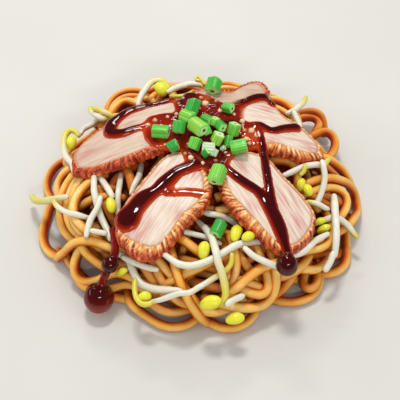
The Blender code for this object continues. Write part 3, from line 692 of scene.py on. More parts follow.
# Each slice: its outline in plan with the width of the crust there, the way that its grain runs
# in degrees, how burnt its crust is, and where it is pink, as (x, y, spread)
SLICES = {
    "pork_slice_left": (
        [(-12, -5, 3), (-24, -10.5, 3.3), (-40, -16, 3.4), (-56, -19, 3.8), (-69, -17, 3), (-71, -4, 0.4),
         (-62, 9, 1.2), (-47, 20, 1.1), (-32, 28, 0.8), (-17, 31, 0.5), (-10.5, 22, 0.3), (-10, 8, 0.3)],
        22, 0.35, [(-64, -6, 9), (-50, -8, 6), (-40, 14, 5), (-28, -3, 5)]),
    "pork_slice_front_left": (
        [(-11, -11.5, 0.4), (-1, -18, 1), (6, -31, 3.2), (4.5, -44, 4.3), (-5, -55, 4.6),
         (-14, -66, 4.6), (-24, -73, 4.6), (-36, -69.5, 4.2), (-44.5, -58, 2), (-41.5, -44, 1),
         (-30.5, -28, 1), (-20, -15, 0.8)],
        58, 0.0, [(-32, -58, 9), (-13, -50, 5), (-22, -24, 6), (-2, -26, 5)]),
    "pork_slice_front_right": (
        [(17, -13, 0.8), (11, -25, 2), (10.5, -36, 4), (16, -47, 4.8), (24, -56, 5), (33, -64, 5),
         (42, -69, 3.6), (51, -66, 1.8), (59, -57, 1.5), (62, -46, 1.2), (56, -35, 1), (46, -24, 0.9),
         (37, -13.5, 0.8), (27, -10, 0.6)],
        -56, 0.0, [(20, -22, 7), (47, -38, 8), (53, -52, 8), (28, -46, 5)]),
    "pork_slice_right": (
        [(26, -3, 2), (36, -7, 3.6), (46, -8.5, 5), (57, -10, 4.5), (68, -7, 3.6), (68, 2, 1.8),
         (62, 10, 1.2), (56, 17, 0.9), (48, 22, 0.7), (42, 30, 0.6), (35, 33, 0.5), (26, 28, 0.3),
         (22.5, 15, 0.3)],
        -14, -0.1, [(62, -1, 7), (52, 8, 6), (38, 24, 7), (40, 1, 5)]),
    "pork_slice_back": (
        [(-7, 35, 1.6), (0, 42, 2.2), (10, 42.5, 2.5), (19, 40.5, 2.6), (27, 47, 3.2), (35, 51, 3.2),
         (41, 45, 2.6), (38, 38, 1.3), (27, 33.5, 0.6), (19, 26, 0.3), (18, 10, 0.3), (9, -2, 0.3),
         (-3, -2, 0.3), (-7.5, 14, 0.5)],
        12, 0.5, [(5, 38, 6), (30, 42, 6), (14, 34, 5)]),
}


def fan_top(x, y):
    """Height of the top of the fan of slices."""
    out = np.hypot(x, y) - 45.0
    return 48.8 - 0.2165 * out - 0.0025 * out * out


def speckle(x, y, z=0.0):
    """Soft unevenness from -1 to 1."""
    return noise.noise(Vector((x, y, z)))


def closed_curve(points, count):
    """Even steps round a closed Catmull-Rom curve."""
    knots = np.array(points, float)
    around = np.vstack([knots[-2:], knots, knots[:3]])
    line = smooth_line(around, 0.4)
    # keep one whole turn, from the first point to the same point again
    starts = np.linalg.norm(line[:, :2] - knots[0, :2], axis=1)
    half = len(line) // 2
    first = int(np.argmin(starts[:half]))
    last = half + int(np.argmin(starts[half:]))
    at = np.linspace(first, last, count, endpoint=False)
    return np.stack([np.interp(at, np.arange(len(line)), line[:, k]) for k in range(line.shape[1])],
                    axis=1)


def make_slice(name, outline, grain_turn, burnt, pinks):
    """A slab with a rounded, blistered rim: its top from the middle out, down its side, and its
    underside back to the middle."""
    edge = closed_curve(outline, SLICE_EDGE)
    centre = edge[:, :2].mean(axis=0)
    grain = np.array([math.cos(math.radians(grain_turn)), math.sin(math.radians(grain_turn))])
    round_way = np.concatenate([[0], np.cumsum(np.linalg.norm(np.diff(edge[:, :2], axis=0), axis=1))])
    outs = edge[:, :2] - centre
    reach = np.linalg.norm(outs, axis=1)
    outs = outs / reach[:, None]
    # rings: (share of the way out, or None past the edge; depth below the top)
    shares = 1 - (1 - np.linspace(0.03, 1, SLICE_RINGS)) ** 1.6
    side = [(0.25, 0.4), (0.6, 1.0), (0.85, 1.8), (1.0, 2.8), (0.95, 3.8), (0.75, 4.8), (0.4, 5.6)]
    rings = [(s, 0.0, 0.0) for s in shares] + [(1.0, swell, down) for swell, down in side]
    rings += [(s, 0.0, SLICE_THICK) for s in (0.96, 0.6, 0.2)]
    points = []
    kept = {"crust": [], "high": [], "low": [], "across": [], "along": [], "pink": [], "rim": [],
            "roasted": []}
    for share, swell, down in rings:
        for k in range(SLICE_EDGE):
            width = edge[k, 2]
            hard = min(1.0, width / 3.0)
            # the rim's blisters: ridges that run across the crust, of uneven size
            s = round_way[k]
            lean = s + 0.35 * down - 0.3 * reach[k] * (1 - share)
            ridge = 1.2 * speckle(lean / 1.5, down / 7, 3.0) + 0.5 * speckle(lean / 0.7, down / 2.5, 7.0)
            notch = -max(0.0, speckle(s / 3.4, 1.5, 11.0) - 0.15) * 2.6
            rag = (0.6 + burnt) * (ridge + 1.6 * notch) * hard * min(1.0, share ** 8)
            inset = reach[k] * share - 1.0 + swell * 1.15 * (0.4 + 0.6 * hard) + rag
            x, y = centre + outs[k] * max(0.0, inset)
            to_edge = reach[k] * (1 - share) + 1e-6
            crust = 1.0 if share == 1.0 and down < SLICE_THICK else \
                float(np.clip((width * (1 + 0.35 * speckle(s / 2.6, 0.5, 5.0)) - to_edge) / 0.7, 0, 1))
            crust *= min(1.0, 0.25 + hard) if width < 0.45 else 1.0
            bubble = 0.5 + 0.75 * ridge + 0.35 * speckle(x / 2.2, y / 2.2, down / 2.0)
            u = (x - centre[0]) * grain[0] + (y - centre[1]) * grain[1]
            v = -(x - centre[0]) * grain[1] + (y - centre[1]) * grain[0]
            fibre = speckle(v / 1.1, u / 16, 2.0) + 0.6 * speckle(v / 0.45, u / 8, 9.0)
            z = float(fan_top(x, y)) - down
            if name == "pork_slice_back":
                z += 1.5 * math.exp(-((x - 33) ** 2 + (y - 44) ** 2) / 14 ** 2)
            if down == 0.0:
                z += (0.16 * fibre + 0.5 * speckle(x / 9, y / 9, 4.0)) * (1 - crust)
                z += crust * hard * (0.15 + 0.75 * bubble) - (1 - crust) * 0.35 * (to_edge < width + 1.4)
                z -= 0.25 * (to_edge < 0.5)
            points.append((x, y, z))
            kept["crust"].append(crust)
            kept["high"].append(bubble)
            kept["low"].append(min(1.0, burnt + down / SLICE_THICK + 0.45 * max(0.0, 1 - to_edge / max(0.5, width))))
            kept["roasted"].append(max(0.0, burnt))
            kept["across"].append(v)
            kept["along"].append(u)
            kept["rim"].append(max(0.0, 1 - abs(to_edge - width - 0.3) / 1.3) if down == 0.0 else 0.0)
            kept["pink"].append(min(1.0, sum(math.exp(-((x - px) ** 2 + (y - py) ** 2) / r ** 2)
                                             for px, py, r in pinks)))
    faces = []
    for ring in range(len(rings) - 1):
        for k in range(SLICE_EDGE):
            other = (k + 1) % SLICE_EDGE
            faces.append((ring * SLICE_EDGE + k, (ring + 1) * SLICE_EDGE + k,
                          (ring + 1) * SLICE_EDGE + other, ring * SLICE_EDGE + other))
    faces.append(list(range(SLICE_EDGE)))
    faces.append(list(range((len(rings) - 1) * SLICE_EDGE, len(rings) * SLICE_EDGE))[::-1])
    return points, faces, kept


pork_look, tree, shader = start_material("roast_pork", 0.5)
crust = kept_value(tree, "crust")
high = kept_value(tree, "high")
rim = kept_value(tree, "rim")
place = add_node(tree, "TexCoord").outputs["Object"]
weave = add_node(tree, "CombineXYZ", X=kept_value(tree, "across"), Z=0.0)
run = add_node(tree, "Math", {"operation": "MULTIPLY"}, _0=kept_value(tree, "along"), _1=0.09)
tree.links.new(run.outputs[0], weave.inputs["Y"])
fibre = soft_cloud(tree, weave.outputs[0], 0.75, 5.0, 0.38, 0.66)
band = soft_cloud(tree, weave.outputs[0], 0.22, 2.0, 0.36, 0.56)["Share"]
speck = soft_cloud(tree, place, 1100.0, 2.0, 0.62, 0.75)["Share"]
meat = blend(tree, fibre["Share"], paint("DAC5B0"), paint("E9DCCE"))
pinkness = add_node(tree, "Math", {"operation": "MULTIPLY"}, _0=kept_value(tree, "pink"),
                    _1=band).outputs[0]
pinkness = add_node(tree, "Math", {"operation": "MULTIPLY"}, _0=pinkness,
                    _1=ramp(tree, fibre["Value"], 0.72, 0.36)).outputs[0]
meat = blend(tree, pinkness, meat, paint("CC8C84"))
meat = blend(tree, kept_value(tree, "roasted"), meat, paint("B0886A"))
meat = blend(tree, ramp(tree, rim, 0.1, 1.0), meat, paint("C0804E"))
low = kept_value(tree, "low")
golden = three_tones(tree, high, ("962F08", "E8953A", "FFE0A2"), (0.12, 0.52), (0.5, 0.8))
red_brown = three_tones(tree, high, ("8E1A06", "D8541C", "F2A456"), (0.2, 0.75), (0.75, 1.05))
skin = blend(tree, ramp(tree, low, 0.12, 0.62), golden, red_brown)
skin = blend(tree, speck, skin, paint("F4C884"))
tree.links.new(blend(tree, crust, meat, skin), shader.inputs["Base Color"])
dimple = add_node(tree, "Bump", Strength=0.35, Distance=0.0005, Height=fibre["Value"])
tree.links.new(dimple.outputs["Normal"], shader.inputs["Normal"])

for name, (outline, grain_turn, burnt, pinks) in SLICES.items():
    points, faces, kept = make_slice(name, outline, grain_turn, burnt, pinks)
    piece = add_mesh(name.replace("pork_", "roast_"), points, faces, pork_look, kept)
    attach(piece, "root")
    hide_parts(name)

# ---------------------------------------------------------------------------------------------
# The sauce: a thick, sweet brown sauce poured on last. It makes a pool over the slices' inner
# ends, runs out along them in ropes with rounded edges, and drips off two of them. Where it is
# thin it is clear and orange-red, and where it is thick it is nearly black.
# ---------------------------------------------------------------------------------------------
POUR_CELL = 0.75
POUR_ROUND = 2.3        # how far in from its edge the sauce reaches its full height
POUR_HIGH = 2.2

# The pool's outline, then the ropes that leave it, as (x, y, half width)
POOL = [(-30, 15), (-32, 6), (-30, -3), (-25, -9), (-18, -10), (-11, -12), (-8, -19), (0, -24),
        (8, -26), (14, -24), (18, -16), (24, -9), (31, -7), (31, 1), (30, 9), (24, 14), (23, 21),
        (12, 27), (5, 33), (-3, 36), (-11, 35), (-15, 27), (-15, 19), (-22, 18)]
ROPES = [
    [(-13, 33, 2.4), (-18, 29, 2.2), (-26, 26.5, 2.2), (-34, 25, 2.6), (-42, 22, 3.4),
     (-49, 15, 4.2), (-50, 7, 4.2), (-44, 5, 3.4), (-37, 7, 3.1), (-30, 9, 3)],
    [(0, -20, 4.8), (-6, -23, 4.5), (-12, -26, 4.1), (-18.5, -32.5, 4.9), (-24, -37.5, 4.1),
     (-30, -41.5, 5.4), (-34.5, -47, 5.6), (-38, -52, 7.2)],
    [(-17, -38.5, 2.6), (-9, -38.5, 3.1), (2.5, -39.5, 3.3)],
    [(14, -23, 2.8), (22, -30.5, 3), (31, -37, 3.2), (37, -46, 4.2), (41.4, -56, 4.3), (44.3, -66, 3),
     (46.3, -71, 2.2)],
    [(31, 8, 3.4), (33.5, -2, 3), (35, -15, 2.7), (36.5, -30, 2.9), (38, -44, 3.2)],
    [(27, 7, 3), (33, 9.5, 2.8), (40, 6.5, 2.7), (47, 9.5, 2.8), (54, 12, 3.4)],
    [(19, 21, 3), (26, 29, 2.7), (33, 34, 2.7), (40, 35, 2.9), (41.5, 30, 2.5)],
]
# Where the sauce is a thin smear: x, y, radius
THIN = [(-27, 8, 9), (-11, -38.5, 7), (-5, -38.8, 6), (1, -39.5, 8), (26, -3, 5), (28, 4, 5),
        (22, -12, 5), (-20, -5, 5), (3, 30, 5)]


def inside_pool(x, y):
    """Distance inside the pool's outline at many places, negative outside it."""
    line = closed_curve([(*p, 0) for p in POOL], 150)[:, :2]
    after = np.roll(line, -1, axis=0)
    away = np.full(x.shape, 1e9)
    odd = np.zeros(x.shape, bool)
    for a, b in zip(line, after):
        run = b - a
        t = np.clip(((x - a[0]) * run[0] + (y - a[1]) * run[1]) / (run ** 2).sum(), 0, 1)
        away = np.minimum(away, np.hypot(x - a[0] - run[0] * t, y - a[1] - run[1] * t))
        crosses = (a[1] > y) != (b[1] > y)
        at = a[0] + (y - a[1]) * run[0] / (run[1] if abs(run[1]) > 1e-9 else 1e-9)
        odd ^= crosses & (x < at)
    return np.where(odd, away, -away)


def inside_pour(x, y):
    """Distance inside the whole pour, its ropes melting into the pool where they meet."""
    depth = inside_pool(x, y)
    for rope in ROPES:
        line = smooth_line(rope, 1.0)
        near = (line[:, 2][:, None] - np.hypot(line[:, 0][:, None] - x.ravel(),
                                               line[:, 1][:, None] - y.ravel())).max(axis=0)
        near = near.reshape(x.shape)
        # a smooth largest-of-two, so that the corner between two streams is filled
        gap = np.clip(1 - np.abs(depth - near) / 2.4, 0, 1)
        depth = np.maximum(depth, near) + 0.6 * gap ** 2
    return depth


under_sauce = slice_shapes + [heap_shape]


def top_below(x, y):
    """Height of the highest thing that the sauce runs over."""
    hits = [shape.ray_cast(Vector((x, y, 200)), Vector((0, 0, -1)))[0] for shape in under_sauce]
    return max([hit.z for hit in hits if hit is not None], default=0.0)


lines = np.arange(-75, 65, POUR_CELL)
grid_x, grid_y = np.meshgrid(lines, lines, indexing="ij")
depth = inside_pour(grid_x, grid_y)
wet = depth > 0
used = wet.copy()
for axis in (0, 1):
    for shift in (-1, 1):
        used |= np.roll(wet, shift, axis)
used |= np.roll(np.roll(wet, 1, 0), 1, 1) | np.roll(np.roll(wet, -1, 0), -1, 1)
used |= np.roll(np.roll(wet, 1, 0), -1, 1) | np.roll(np.roll(wet, -1, 0), 1, 1)
cells = wet[:-1, :-1] | wet[1:, :-1] | wet[:-1, 1:] | wet[1:, 1:]
# slide the points outside the pour onto its edge
edge_x, edge_y = grid_x.copy(), grid_y.copy()
rim_spots = used & ~wet
sx, sy = edge_x[rim_spots], edge_y[rim_spots]
for _ in range(4):
    d = inside_pour(sx, sy)
    gx = (inside_pour(sx + 0.2, sy) - d) / 0.2
    gy = (inside_pour(sx, sy + 0.2) - d) / 0.2
    size = np.maximum(0.3, gx ** 2 + gy ** 2)
    push = np.clip(d, -0.8, 0.8)
    sx, sy = sx - push * gx / size, sy - push * gy / size
edge_x[rim_spots], edge_y[rim_spots] = sx, sy

# the ground under the sauce: filled where it bridges from slice to slice
ground = np.full(depth.shape, -1.0)
for i, j in zip(*np.nonzero(used)):
    # it hangs no lower than the slices' undersides where it bridges them
    hang = fan_top(edge_x[i, j], edge_y[i, j]) - 4.5
    ground[i, j] = max(hang, top_below(edge_x[i, j], edge_y[i, j]))
filled = ground.copy()
for _ in range(5):
    high = filled.copy()
    for axis in (0, 1):
        for shift in (-1, 1):
            high = np.maximum(high, np.where(used, np.roll(filled, shift, axis), -1.0))
    filled = np.where(used, high, -1.0)
bridge = filled.copy()
for _ in range(10):
    total = np.zeros_like(bridge)
    count = np.zeros_like(bridge)
    for axis in (0, 1):
        for shift in (-1, 1):
            there = np.roll(used, shift, axis)
            total += np.where(there, np.roll(bridge, shift, axis), 0)
            count += there
    bridge = np.where(used & (count > 0), 0.5 * bridge + 0.5 * total / np.maximum(count, 1), bridge)
bridge = np.maximum(ground, bridge - 0.7)

# how far inside the pour its middle lies near each place, so that each stream, wide or narrow,
# is dark along its middle and clear towards its sides
middle = np.maximum(depth, 0.5)
for _ in range(9):
    for axis in (0, 1):
        middle = np.maximum(middle, np.maximum(np.roll(middle, 1, axis), np.roll(middle, -1, axis)))

points, faces, thick_and_glow, number = [], [], [], {}
for i, j in zip(*np.nonzero(used)):
    x, y = edge_x[i, j], edge_y[i, j]
    inner = 0.0 if rim_spots[i, j] else depth[i, j]
    thin = min(1.0, sum(math.exp(-((x - tx) ** 2 + (y - ty) ** 2) / r ** 2) for tx, ty, r in THIN))
    # ropes are full and smooth, and the pool between the pieces of onion is lumpy
    lumpy = max(0.0, 1 - math.hypot(x - 2, y - 3) / 34)
    ripple = 1 + 0.35 * lumpy * speckle(x / 2.4, y / 2.4, 1.0) + 0.2 * speckle(x / 7.5, y / 7.5, 8.0)
    round_in = math.sqrt(max(0.0, 1 - (1 - min(1.0, inner / POUR_ROUND)) ** 2))
    tall = (POUR_HIGH * 0.8 * round_in + 0.22 * min(inner, 6.0)) * (1 - 0.62 * thin) * ripple
    number[i, j] = len(points)
    points.append((x, y, bridge[i, j] + (tall if inner > 0 else -0.5)))
    # the pool is clearer than the ropes, in patches
    clear = (0.45 + 0.35 * speckle(x / 5, y / 5, 20.0)) * min(1.0, 2.5 * lumpy)
    inwards = min(1.0, max(0.0, inner / min(middle[i, j], 5.5) - 0.02) / 0.60)
    thick_and_glow.append(2.7 * inwards * (1 - 0.82 * thin) * (1 - clear))
    points.append((x, y, bridge[i, j] - 0.9))
    thick_and_glow.append(0.0)
uses = {}
for i, j in zip(*np.nonzero(cells)):
    corners = [(i, j), (i + 1, j), (i + 1, j + 1), (i, j + 1)]
    spots = [number[c] for c in corners]
    faces.append(tuple(spots))
    faces.append(tuple(s + 1 for s in reversed(spots)))
    for a, b in zip(corners, corners[1:] + corners[:1]):
        uses[a, b] = uses.get((a, b), 0) + 1
for a, b in list(uses):
    if (b, a) not in uses:
        faces.append((number[b], number[a], number[a] + 1, number[b] + 1))

sauce_look, tree, shader = start_material("brown_sauce", 0.07)
# the amount is the sauce's thickness, and on the drips also a painted glow low down
thickness = kept_value(tree, "thick_and_glow")
body = three_tones(tree, thickness, ("C04418", "8E1A0A", "40070A"), (0.1, 0.9), (0.8, 2.3))
tree.links.new(body, shader.inputs["Base Color"])
shader.inputs["IOR"].default_value = 1.45
shader.inputs["Subsurface Weight"].default_value = 0.25
shader.inputs["Subsurface Radius"].default_value = (1.0, 0.12, 0.04)
shader.inputs["Subsurface Scale"].default_value = 0.003

pour_points, pour_faces = points, faces
pour = add_mesh("sauce_over_slices", points, faces, sauce_look, {"thick_and_glow": thick_and_glow})
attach(pour, "root")
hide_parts("sauce_pour")

# The two drips: points in space, the neck's radius, and each bead's distance along and radius
DRIPS = {
    "sauce_drip_left": ([(-46.3, -52.3, 36.2), (-45, -58.5, 34.5), (-44.8, -64.5, 31.5), (-47.4, -70.3, 28),
                         (-50.5, -74, 22.5), (-52.5, -77, 17), (-53.6, -78.2, 12), (-54, -79.5, 7),
                         (-54, -80.5, 1)], 2.0, [(20.0, 4.6), (41.5, 8.3)]),
    "sauce_drip_right": ([(45.6, -72.3, 42), (44.8, -76.5, 39.4), (44.2, -78.6, 32.5)],
                         1.3, [(2.2, 2.2), (6.8, 5.8)]),
}
for name, (route, neck, beads) in DRIPS.items():
    line = smooth_line(route, 0.45)
    along = np.concatenate([[0], np.cumsum(np.linalg.norm(np.diff(line, axis=0), axis=1))])
    radii = np.full(len(line), neck)
    for at, size in beads:
        ball = np.sqrt(np.maximum(0, size ** 2 - (along - at) ** 2))
        # the neck widens into each bead in a smooth curve
        flare = neck + (size * 0.45) * np.exp(-np.maximum(0, np.abs(along - at) - size * 0.86) / 1.2)
        radii = np.maximum(radii, np.where(np.abs(along - at) < size, np.maximum(ball, 0), 0))
        radii = np.where(np.abs(along - at) >= size * 0.9, np.maximum(radii, np.minimum(flare, size * 0.5)),
                         radii)
    end = along[-1]
    at, size = beads[-1]
    radii = np.where(along > at, np.sqrt(np.maximum(0.02, size ** 2 - (along - at) ** 2)), radii)
    points, faces, kept = tubes([(line, radii, {})], 40)
    points[:, 2] = np.maximum(points[:, 2], 0.1)
    # painted glow: clear red low down, standing in for light that comes through from the table
    thick_and_glow = np.minimum(np.repeat(radii * 0.9 - 0.4, 40), 0.05 + 0.12 * points[:, 2])
    piece = add_mesh(name.replace("drip", "run"), points, faces, sauce_look, {"thick_and_glow": thick_and_glow})
    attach(piece, "root")
    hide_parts(name)

# Minced bits in the pool: (x, y, radius), cream ones of garlic and tan ones of onion
BITS = [(-13, 14, 1.3), (-5, 24.5, 1.0), (3, 22.5, 1.9), (9, 25.5, 0.8), (0.5, 29.5, 1.2), (-9.5, 29, 0.9),
        (15.5, 23, 0.9), (19, 14.5, 1.1), (23.5, 10, 1.6), (28.5, 4, 1.9), (25.5, -2, 1.5), (20.5, -5.5, 1.0),
        (27, -5, 1.2), (24.5, 3.5, 1.3), (14, -12, 1.0), (8.5, -17.5, 1.3), (-5, -18.5, 1.6), (-8, -15, 1.1),
        (1.5, -21.5, 1.1), (-21.5, 6, 1.2), (-25, 11, 1.5), (-18, 12.5, 1.0), (-28.5, 8.5, 1.0),
        (-9.5, 21, 0.8), (-15, 5, 0.9), (6, -25, 1.2), (2.5, 12.5, 1.1), (-19, -7.5, 1.0), (11, 16.5, 1.2),
        (-12, 24, 1.1), (18, 18, 0.8), (31, 0, 1.0), (-2, 33.5, 0.8), (7, 31, 0.7), (-23, 3, 0.8)]
poured = BVHTree.FromPolygons([Vector(p) for p in pour_points], pour_faces)
BIT_RINGS = 7
BIT_SIDES = 12
bit_points, bit_faces, bit_tones = [], [], []
for x, y, radius in BITS:
    start = len(bit_points)
    low = poured.ray_cast(Vector((x, y, 200)), Vector((0, 0, -1)))[0].z + 0.15 * radius
    tone = chance.uniform(0, 1)
    seed = chance.uniform(0, 50)
    for ring in range(BIT_RINGS):
        lean = math.pi * (ring + 0.25) / (BIT_RINGS - 0.5)
        for side in range(BIT_SIDES):
            turn = 2 * math.pi * side / BIT_SIDES
            way = np.array([math.sin(lean) * math.cos(turn), math.sin(lean) * math.sin(turn), math.cos(lean)])
            out = radius * (1 + 0.3 * speckle(*(way * 1.3 + seed)))
            bit_points.append(tuple(np.array([x, y, low]) + way * np.array([out, out, out * 0.75])))
            bit_tones.append(tone)
    for ring in range(BIT_RINGS - 1):
        for side in range(BIT_SIDES):
            other = (side + 1) % BIT_SIDES
            a = start + ring * BIT_SIDES
            bit_faces.append((a + side, a + BIT_SIDES + side, a + BIT_SIDES + other, a + other))
    bit_faces.append([start + side for side in range(BIT_SIDES)])
    bit_faces.append([start + (BIT_RINGS - 1) * BIT_SIDES + side for side in reversed(range(BIT_SIDES))])

bit_look, tree, shader = start_material("minced_garlic", 0.25)
tone = kept_value(tree, "tone")
tree.links.new(blend(tree, tone, paint("B5622E"), paint("F2CFA0")), shader.inputs["Base Color"])
bits = add_mesh("minced_bits", bit_points, bit_faces, bit_look, {"tone": bit_tones})
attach(bits, "root")

# ---------------------------------------------------------------------------------------------
# The bean sprouts: crisp mung bean shoots, tossed in at the end. Their stems are off-white and
# shine a little, they turn yellow near the bean, and the bean is bright yellow with a seam. Stems
# are painted lighter on their side turned out from the heap and beans on their upper side, darker
# on the other side: painted highlight and shade, and the seam is darkened with painted shade. They
# lie loose on the noodles, and some stand out over the heap's edge.
# ---------------------------------------------------------------------------------------------
STEM = 1.8              # radius of a stem
RELIEF_STEP = 0.5
RELIEF_HALF = 108.0

# Stems, lowest first: the points each passes over, as (x, y) where it lies on what is below or
# (x, y, height) where it stands clear, then how many mm of its two ends are yellow and its thickness
STEMS = [
    ([(48, -66), (55, -63.5), (62, -55), (69.5, -48.5)], 0, 0, 1),
    ([(-98, -5.5), (-93.5, -14.5), (-87, -20.5), (-79.5, -25), (-72, -29)], 40, 0, 1.15),
    ([(-81, -27.5), (-77.5, -33.5), (-71, -39.5), (-65, -41.5), (-58.5, -41)], 9, 0, 0.85),
    ([(-58, -21), (-57.5, -28), (-56, -34), (-53.5, -41), (-49.5, -49.5), (-47.5, -55.5)], 0, 0, 1),
    ([(-53.5, -32.5), (-55, -39), (-58.5, -45), (-60, -51), (-60.5, -55)], 0, 0, 1),
    ([(-54, -19.5), (-50.5, -26), (-47, -33)], 0, 0, 1),
    ([(-44, -19.5), (-44.5, -29.5), (-44.5, -37.5), (-44, -41.5)], 0, 0, 0.95),
    ([(-33, -11), (-34, -20.5), (-36.5, -28), (-37.5, -31)], 0, 0, 0.95),
    ([(-58.5, -52.5), (-53, -53), (-49, -53.5)], 0, 0, 0.8),
    ([(-45, -61), (-38, -65), (-35.5, -70.5), (-31.5, -77.5), (-26, -81), (-17.5, -84.5),
      (-8.5, -89)], 0, 0, 1.1),
    ([(-37, -67.5), (-31.5, -70.5), (-26, -73), (-21.5, -74.5)], 0, 0, 0.95),
    ([(-16, -72), (-11.5, -75.5), (-5, -76.5), (3, -74), (11.5, -69.5), (20, -64.5), (26.5, -61),
      (33, -59)], 0, 0, 1.1),
    ([(-9, -56), (-3, -56), (4, -57), (11.5, -61)], 0, 0, 0.85),
    ([(0.5, -42.5), (8.5, -45), (15.5, -44.5), (20.5, -46.5)], 0, 0, 0.95),
    ([(22.5, -67), (27.5, -71), (34, -73.5), (40, -75)], 0, 0, 1),
    ([(16.5, -70.5), (16, -75), (13.5, -77.5), (6, -81), (0, -85), (-7, -90.5), (-16.5, -90),
      (-26, -88.5)], 22, 0, 0.9),
    ([(-1, -45.5), (3, -52.5), (6.5, -62), (9, -75), (11, -80), (12.5, -85), (13, -89.5), (11, -92.5),
      (7.5, -92.5)], 0, 26, 1.1),
    ([(-33.5, -77), (-34, -81.5), (-33, -87.5), (-30, -91.5), (-26.5, -92), (-24, -90.5)], 40, 40, 0.8),
    ([(13, -95.5), (17.5, -90.5), (23, -86)], 0, 0, 0.95),
    ([(48, -16, 38), (53, -14, 40), (58.5, -12, 41), (64, -11, 41), (68, -10, 40),
      (72.5, -3.5, 37)], 0, 14, 1),
    ([(67, -10.5), (68.5, -18), (67.5, -23), (65.5, -27.5), (63, -31.5)], 0, 0, 1),
    ([(61, -31.5), (65.5, -32.5), (71, -33.5)], 5, 0, 0.85),
    ([(64.5, -38), (71.5, -37), (77, -35), (82, -36.5), (87.5, -41.5)], 0, 6, 1),
    ([(74.5, -21.5), (73.5, -37.5), (73.5, -46), (73, -53.5), (72, -60)], 0, 0, 1.2),
    ([(71.5, -59, 25), (69.5, -63.5, 22), (66, -68, 18)], 0, 0, 1.05),
    ([(58, -13), (57, -16.5), (54.5, -18.5)], 30, 30, 0.7),
    ([(-57, 35), (-63, 33.5, 20), (-68.5, 31.5, 22), (-71, 27, 24)], 0, 0, 0.95),
    ([(-65.5, 48.5, 26), (-65.5, 45, 26), (-62, 36, 26), (-57.5, 31.5, 28), (-54, 31.5, 30),
      (-50.5, 32.5, 32)], 14, 10, 1),
    ([(-63.5, 38.5, 28), (-58, 35.5, 28), (-53.5, 32, 30), (-50, 29.5, 32)], 14, 10, 0.9),
    ([(-70.5, -10.5, 24), (-72.5, -2.5, 26), (-76.5, 5, 28), (-79, 15, 28), (-79, 23, 28),
      (-76.5, 27.5, 28), (-73, 26.5, 28), (-70.5, 23, 27)], 0, 34, 1),
    ([(-36.5, 37, 38), (-35, 43, 40), (-32.5, 48.5, 41), (-29, 54.5, 41), (-25, 56.5, 41),
      (-21, 54.5, 41), (-18.5, 48.5, 41)], 0, 22, 1.05),
    ([(-19.5, 45, 41), (-12.5, 50, 41), (-6, 53, 41), (0.5, 52.5, 41), (3, 50.5, 41)], 0, 4, 1),
    ([(-18, 43, 41), (-11.5, 42, 42), (-6.5, 44, 42), (-3.5, 47, 42)], 20, 20, 0.7),
    ([(0.5, 53.5, 43), (-2, 54, 43), (-2.5, 55.5, 43), (-1, 57, 43), (1, 54, 42),
      (3, 50, 41)], 40, 40, 0.5),
    ([(51, 40.5, 24), (56.5, 43.5, 26), (61.5, 49.5, 28), (64.5, 56, 28)], 0, 12, 1),
    ([(55, 40.5, 27), (56.5, 35, 25), (58, 30, 24), (58.5, 26.5, 24)], 0, 0, 1),
]

# Stems whose first end, or last end, runs on under a slice: how many mm it does
FIRST_END_UNDER = {0: 5, 3: 7, 5: 7, 6: 7, 7: 6, 10: 5, 11: 6, 12: 3, 13: 1, 16: 1, 19: 5, 21: 3, 22: 5}
LAST_END_UNDER = {11: 5, 14: 4}

# Beans: x, y, heading in degrees, length and half width, and a height where one stands clear
BEANS = [
    (-48, -36.5, -75, 10.0, 2.9, None), (-28.5, -87.5, 10, 7.0, 2.6, None),
    (5.5, -94.5, -10, 13.0, 3.9, None), (55.5, -21.5, 75, 7.5, 2.4, None),
    (59, -24.5, -70, 8.0, 2.7, None), (65.5, -40, 8, 7.0, 2.0, None), (67.5, -43.5, 8, 8.5, 2.3, None),
    (2, -67.5, 80, 10.0, 3.2, None), (19, -57, 75, 12.0, 3.2, None), (25, -61.5, 30, 7.5, 2.7, None),
    (18, -98.5, 8, 10.0, 3.2, 20), (-41, -70, 12, 7.0, 2.0, None), (-75, 18.5, 86, 10.0, 3.1, 27),
    (-23, 49, 118, 10.0, 3.7, 41),
]

relief_side = int(2 * RELIEF_HALF / RELIEF_STEP) + 1
relief = np.zeros((relief_side, relief_side))
relief_at = np.linspace(-RELIEF_HALF, RELIEF_HALF, relief_side)


def settle_relief(names):
    """Raise the relief to the tops of some pieces."""
    for name in names:
        mesh = bpy.data.objects[name].data
        points = [Vector(v.co) * 1000 - Vector(CROWN) for v in mesh.vertices]
        shape = BVHTree.FromPolygons(points, [tuple(p.vertices) for p in mesh.polygons])
        low = np.array(points).min(axis=0)
        high = np.array(points).max(axis=0)
        for i in np.nonzero((relief_at > low[0]) & (relief_at < high[0]))[0]:
            for j in np.nonzero((relief_at > low[1]) & (relief_at < high[1]))[0]:
                hit = shape.ray_cast(Vector((relief_at[i], relief_at[j], 200)), Vector((0, 0, -1)))[0]
                if hit is not None:
                    relief[i, j] = max(relief[i, j], hit.z)


def around(x, y, radius):
    """The part of the relief about a place, and how far each of its points lies from it."""
    i0 = int((x - radius + RELIEF_HALF) / RELIEF_STEP)
    j0 = int((y - radius + RELIEF_HALF) / RELIEF_STEP)
    wide = int(2 * radius / RELIEF_STEP) + 2
    part = (slice(max(0, i0), i0 + wide), slice(max(0, j0), j0 + wide))
    away = (relief_at[part[0]][:, None] - x) ** 2 + (relief_at[part[1]][None, :] - y) ** 2
    return part, away


def ball_rests_at(x, y, radius):
    """Height of the middle of a ball that rests on the relief."""
    part, away = around(x, y, radius)
    inside = radius ** 2 - away
    tops = np.where(inside > 0, relief[part] + np.sqrt(np.maximum(inside, 0)), 0)
    return max(radius, float(tops.max()))


def raise_relief(line, radii):
    """Raise the relief to the top of a round strand."""
    for (x, y, z), radius in zip(line, radii):
        part, away = around(x, y, radius)
        inside = radius ** 2 - away
        tops = np.where(inside > 0, z + np.sqrt(np.maximum(inside, 0)), 0)
        relief[part] = np.maximum(relief[part], tops)


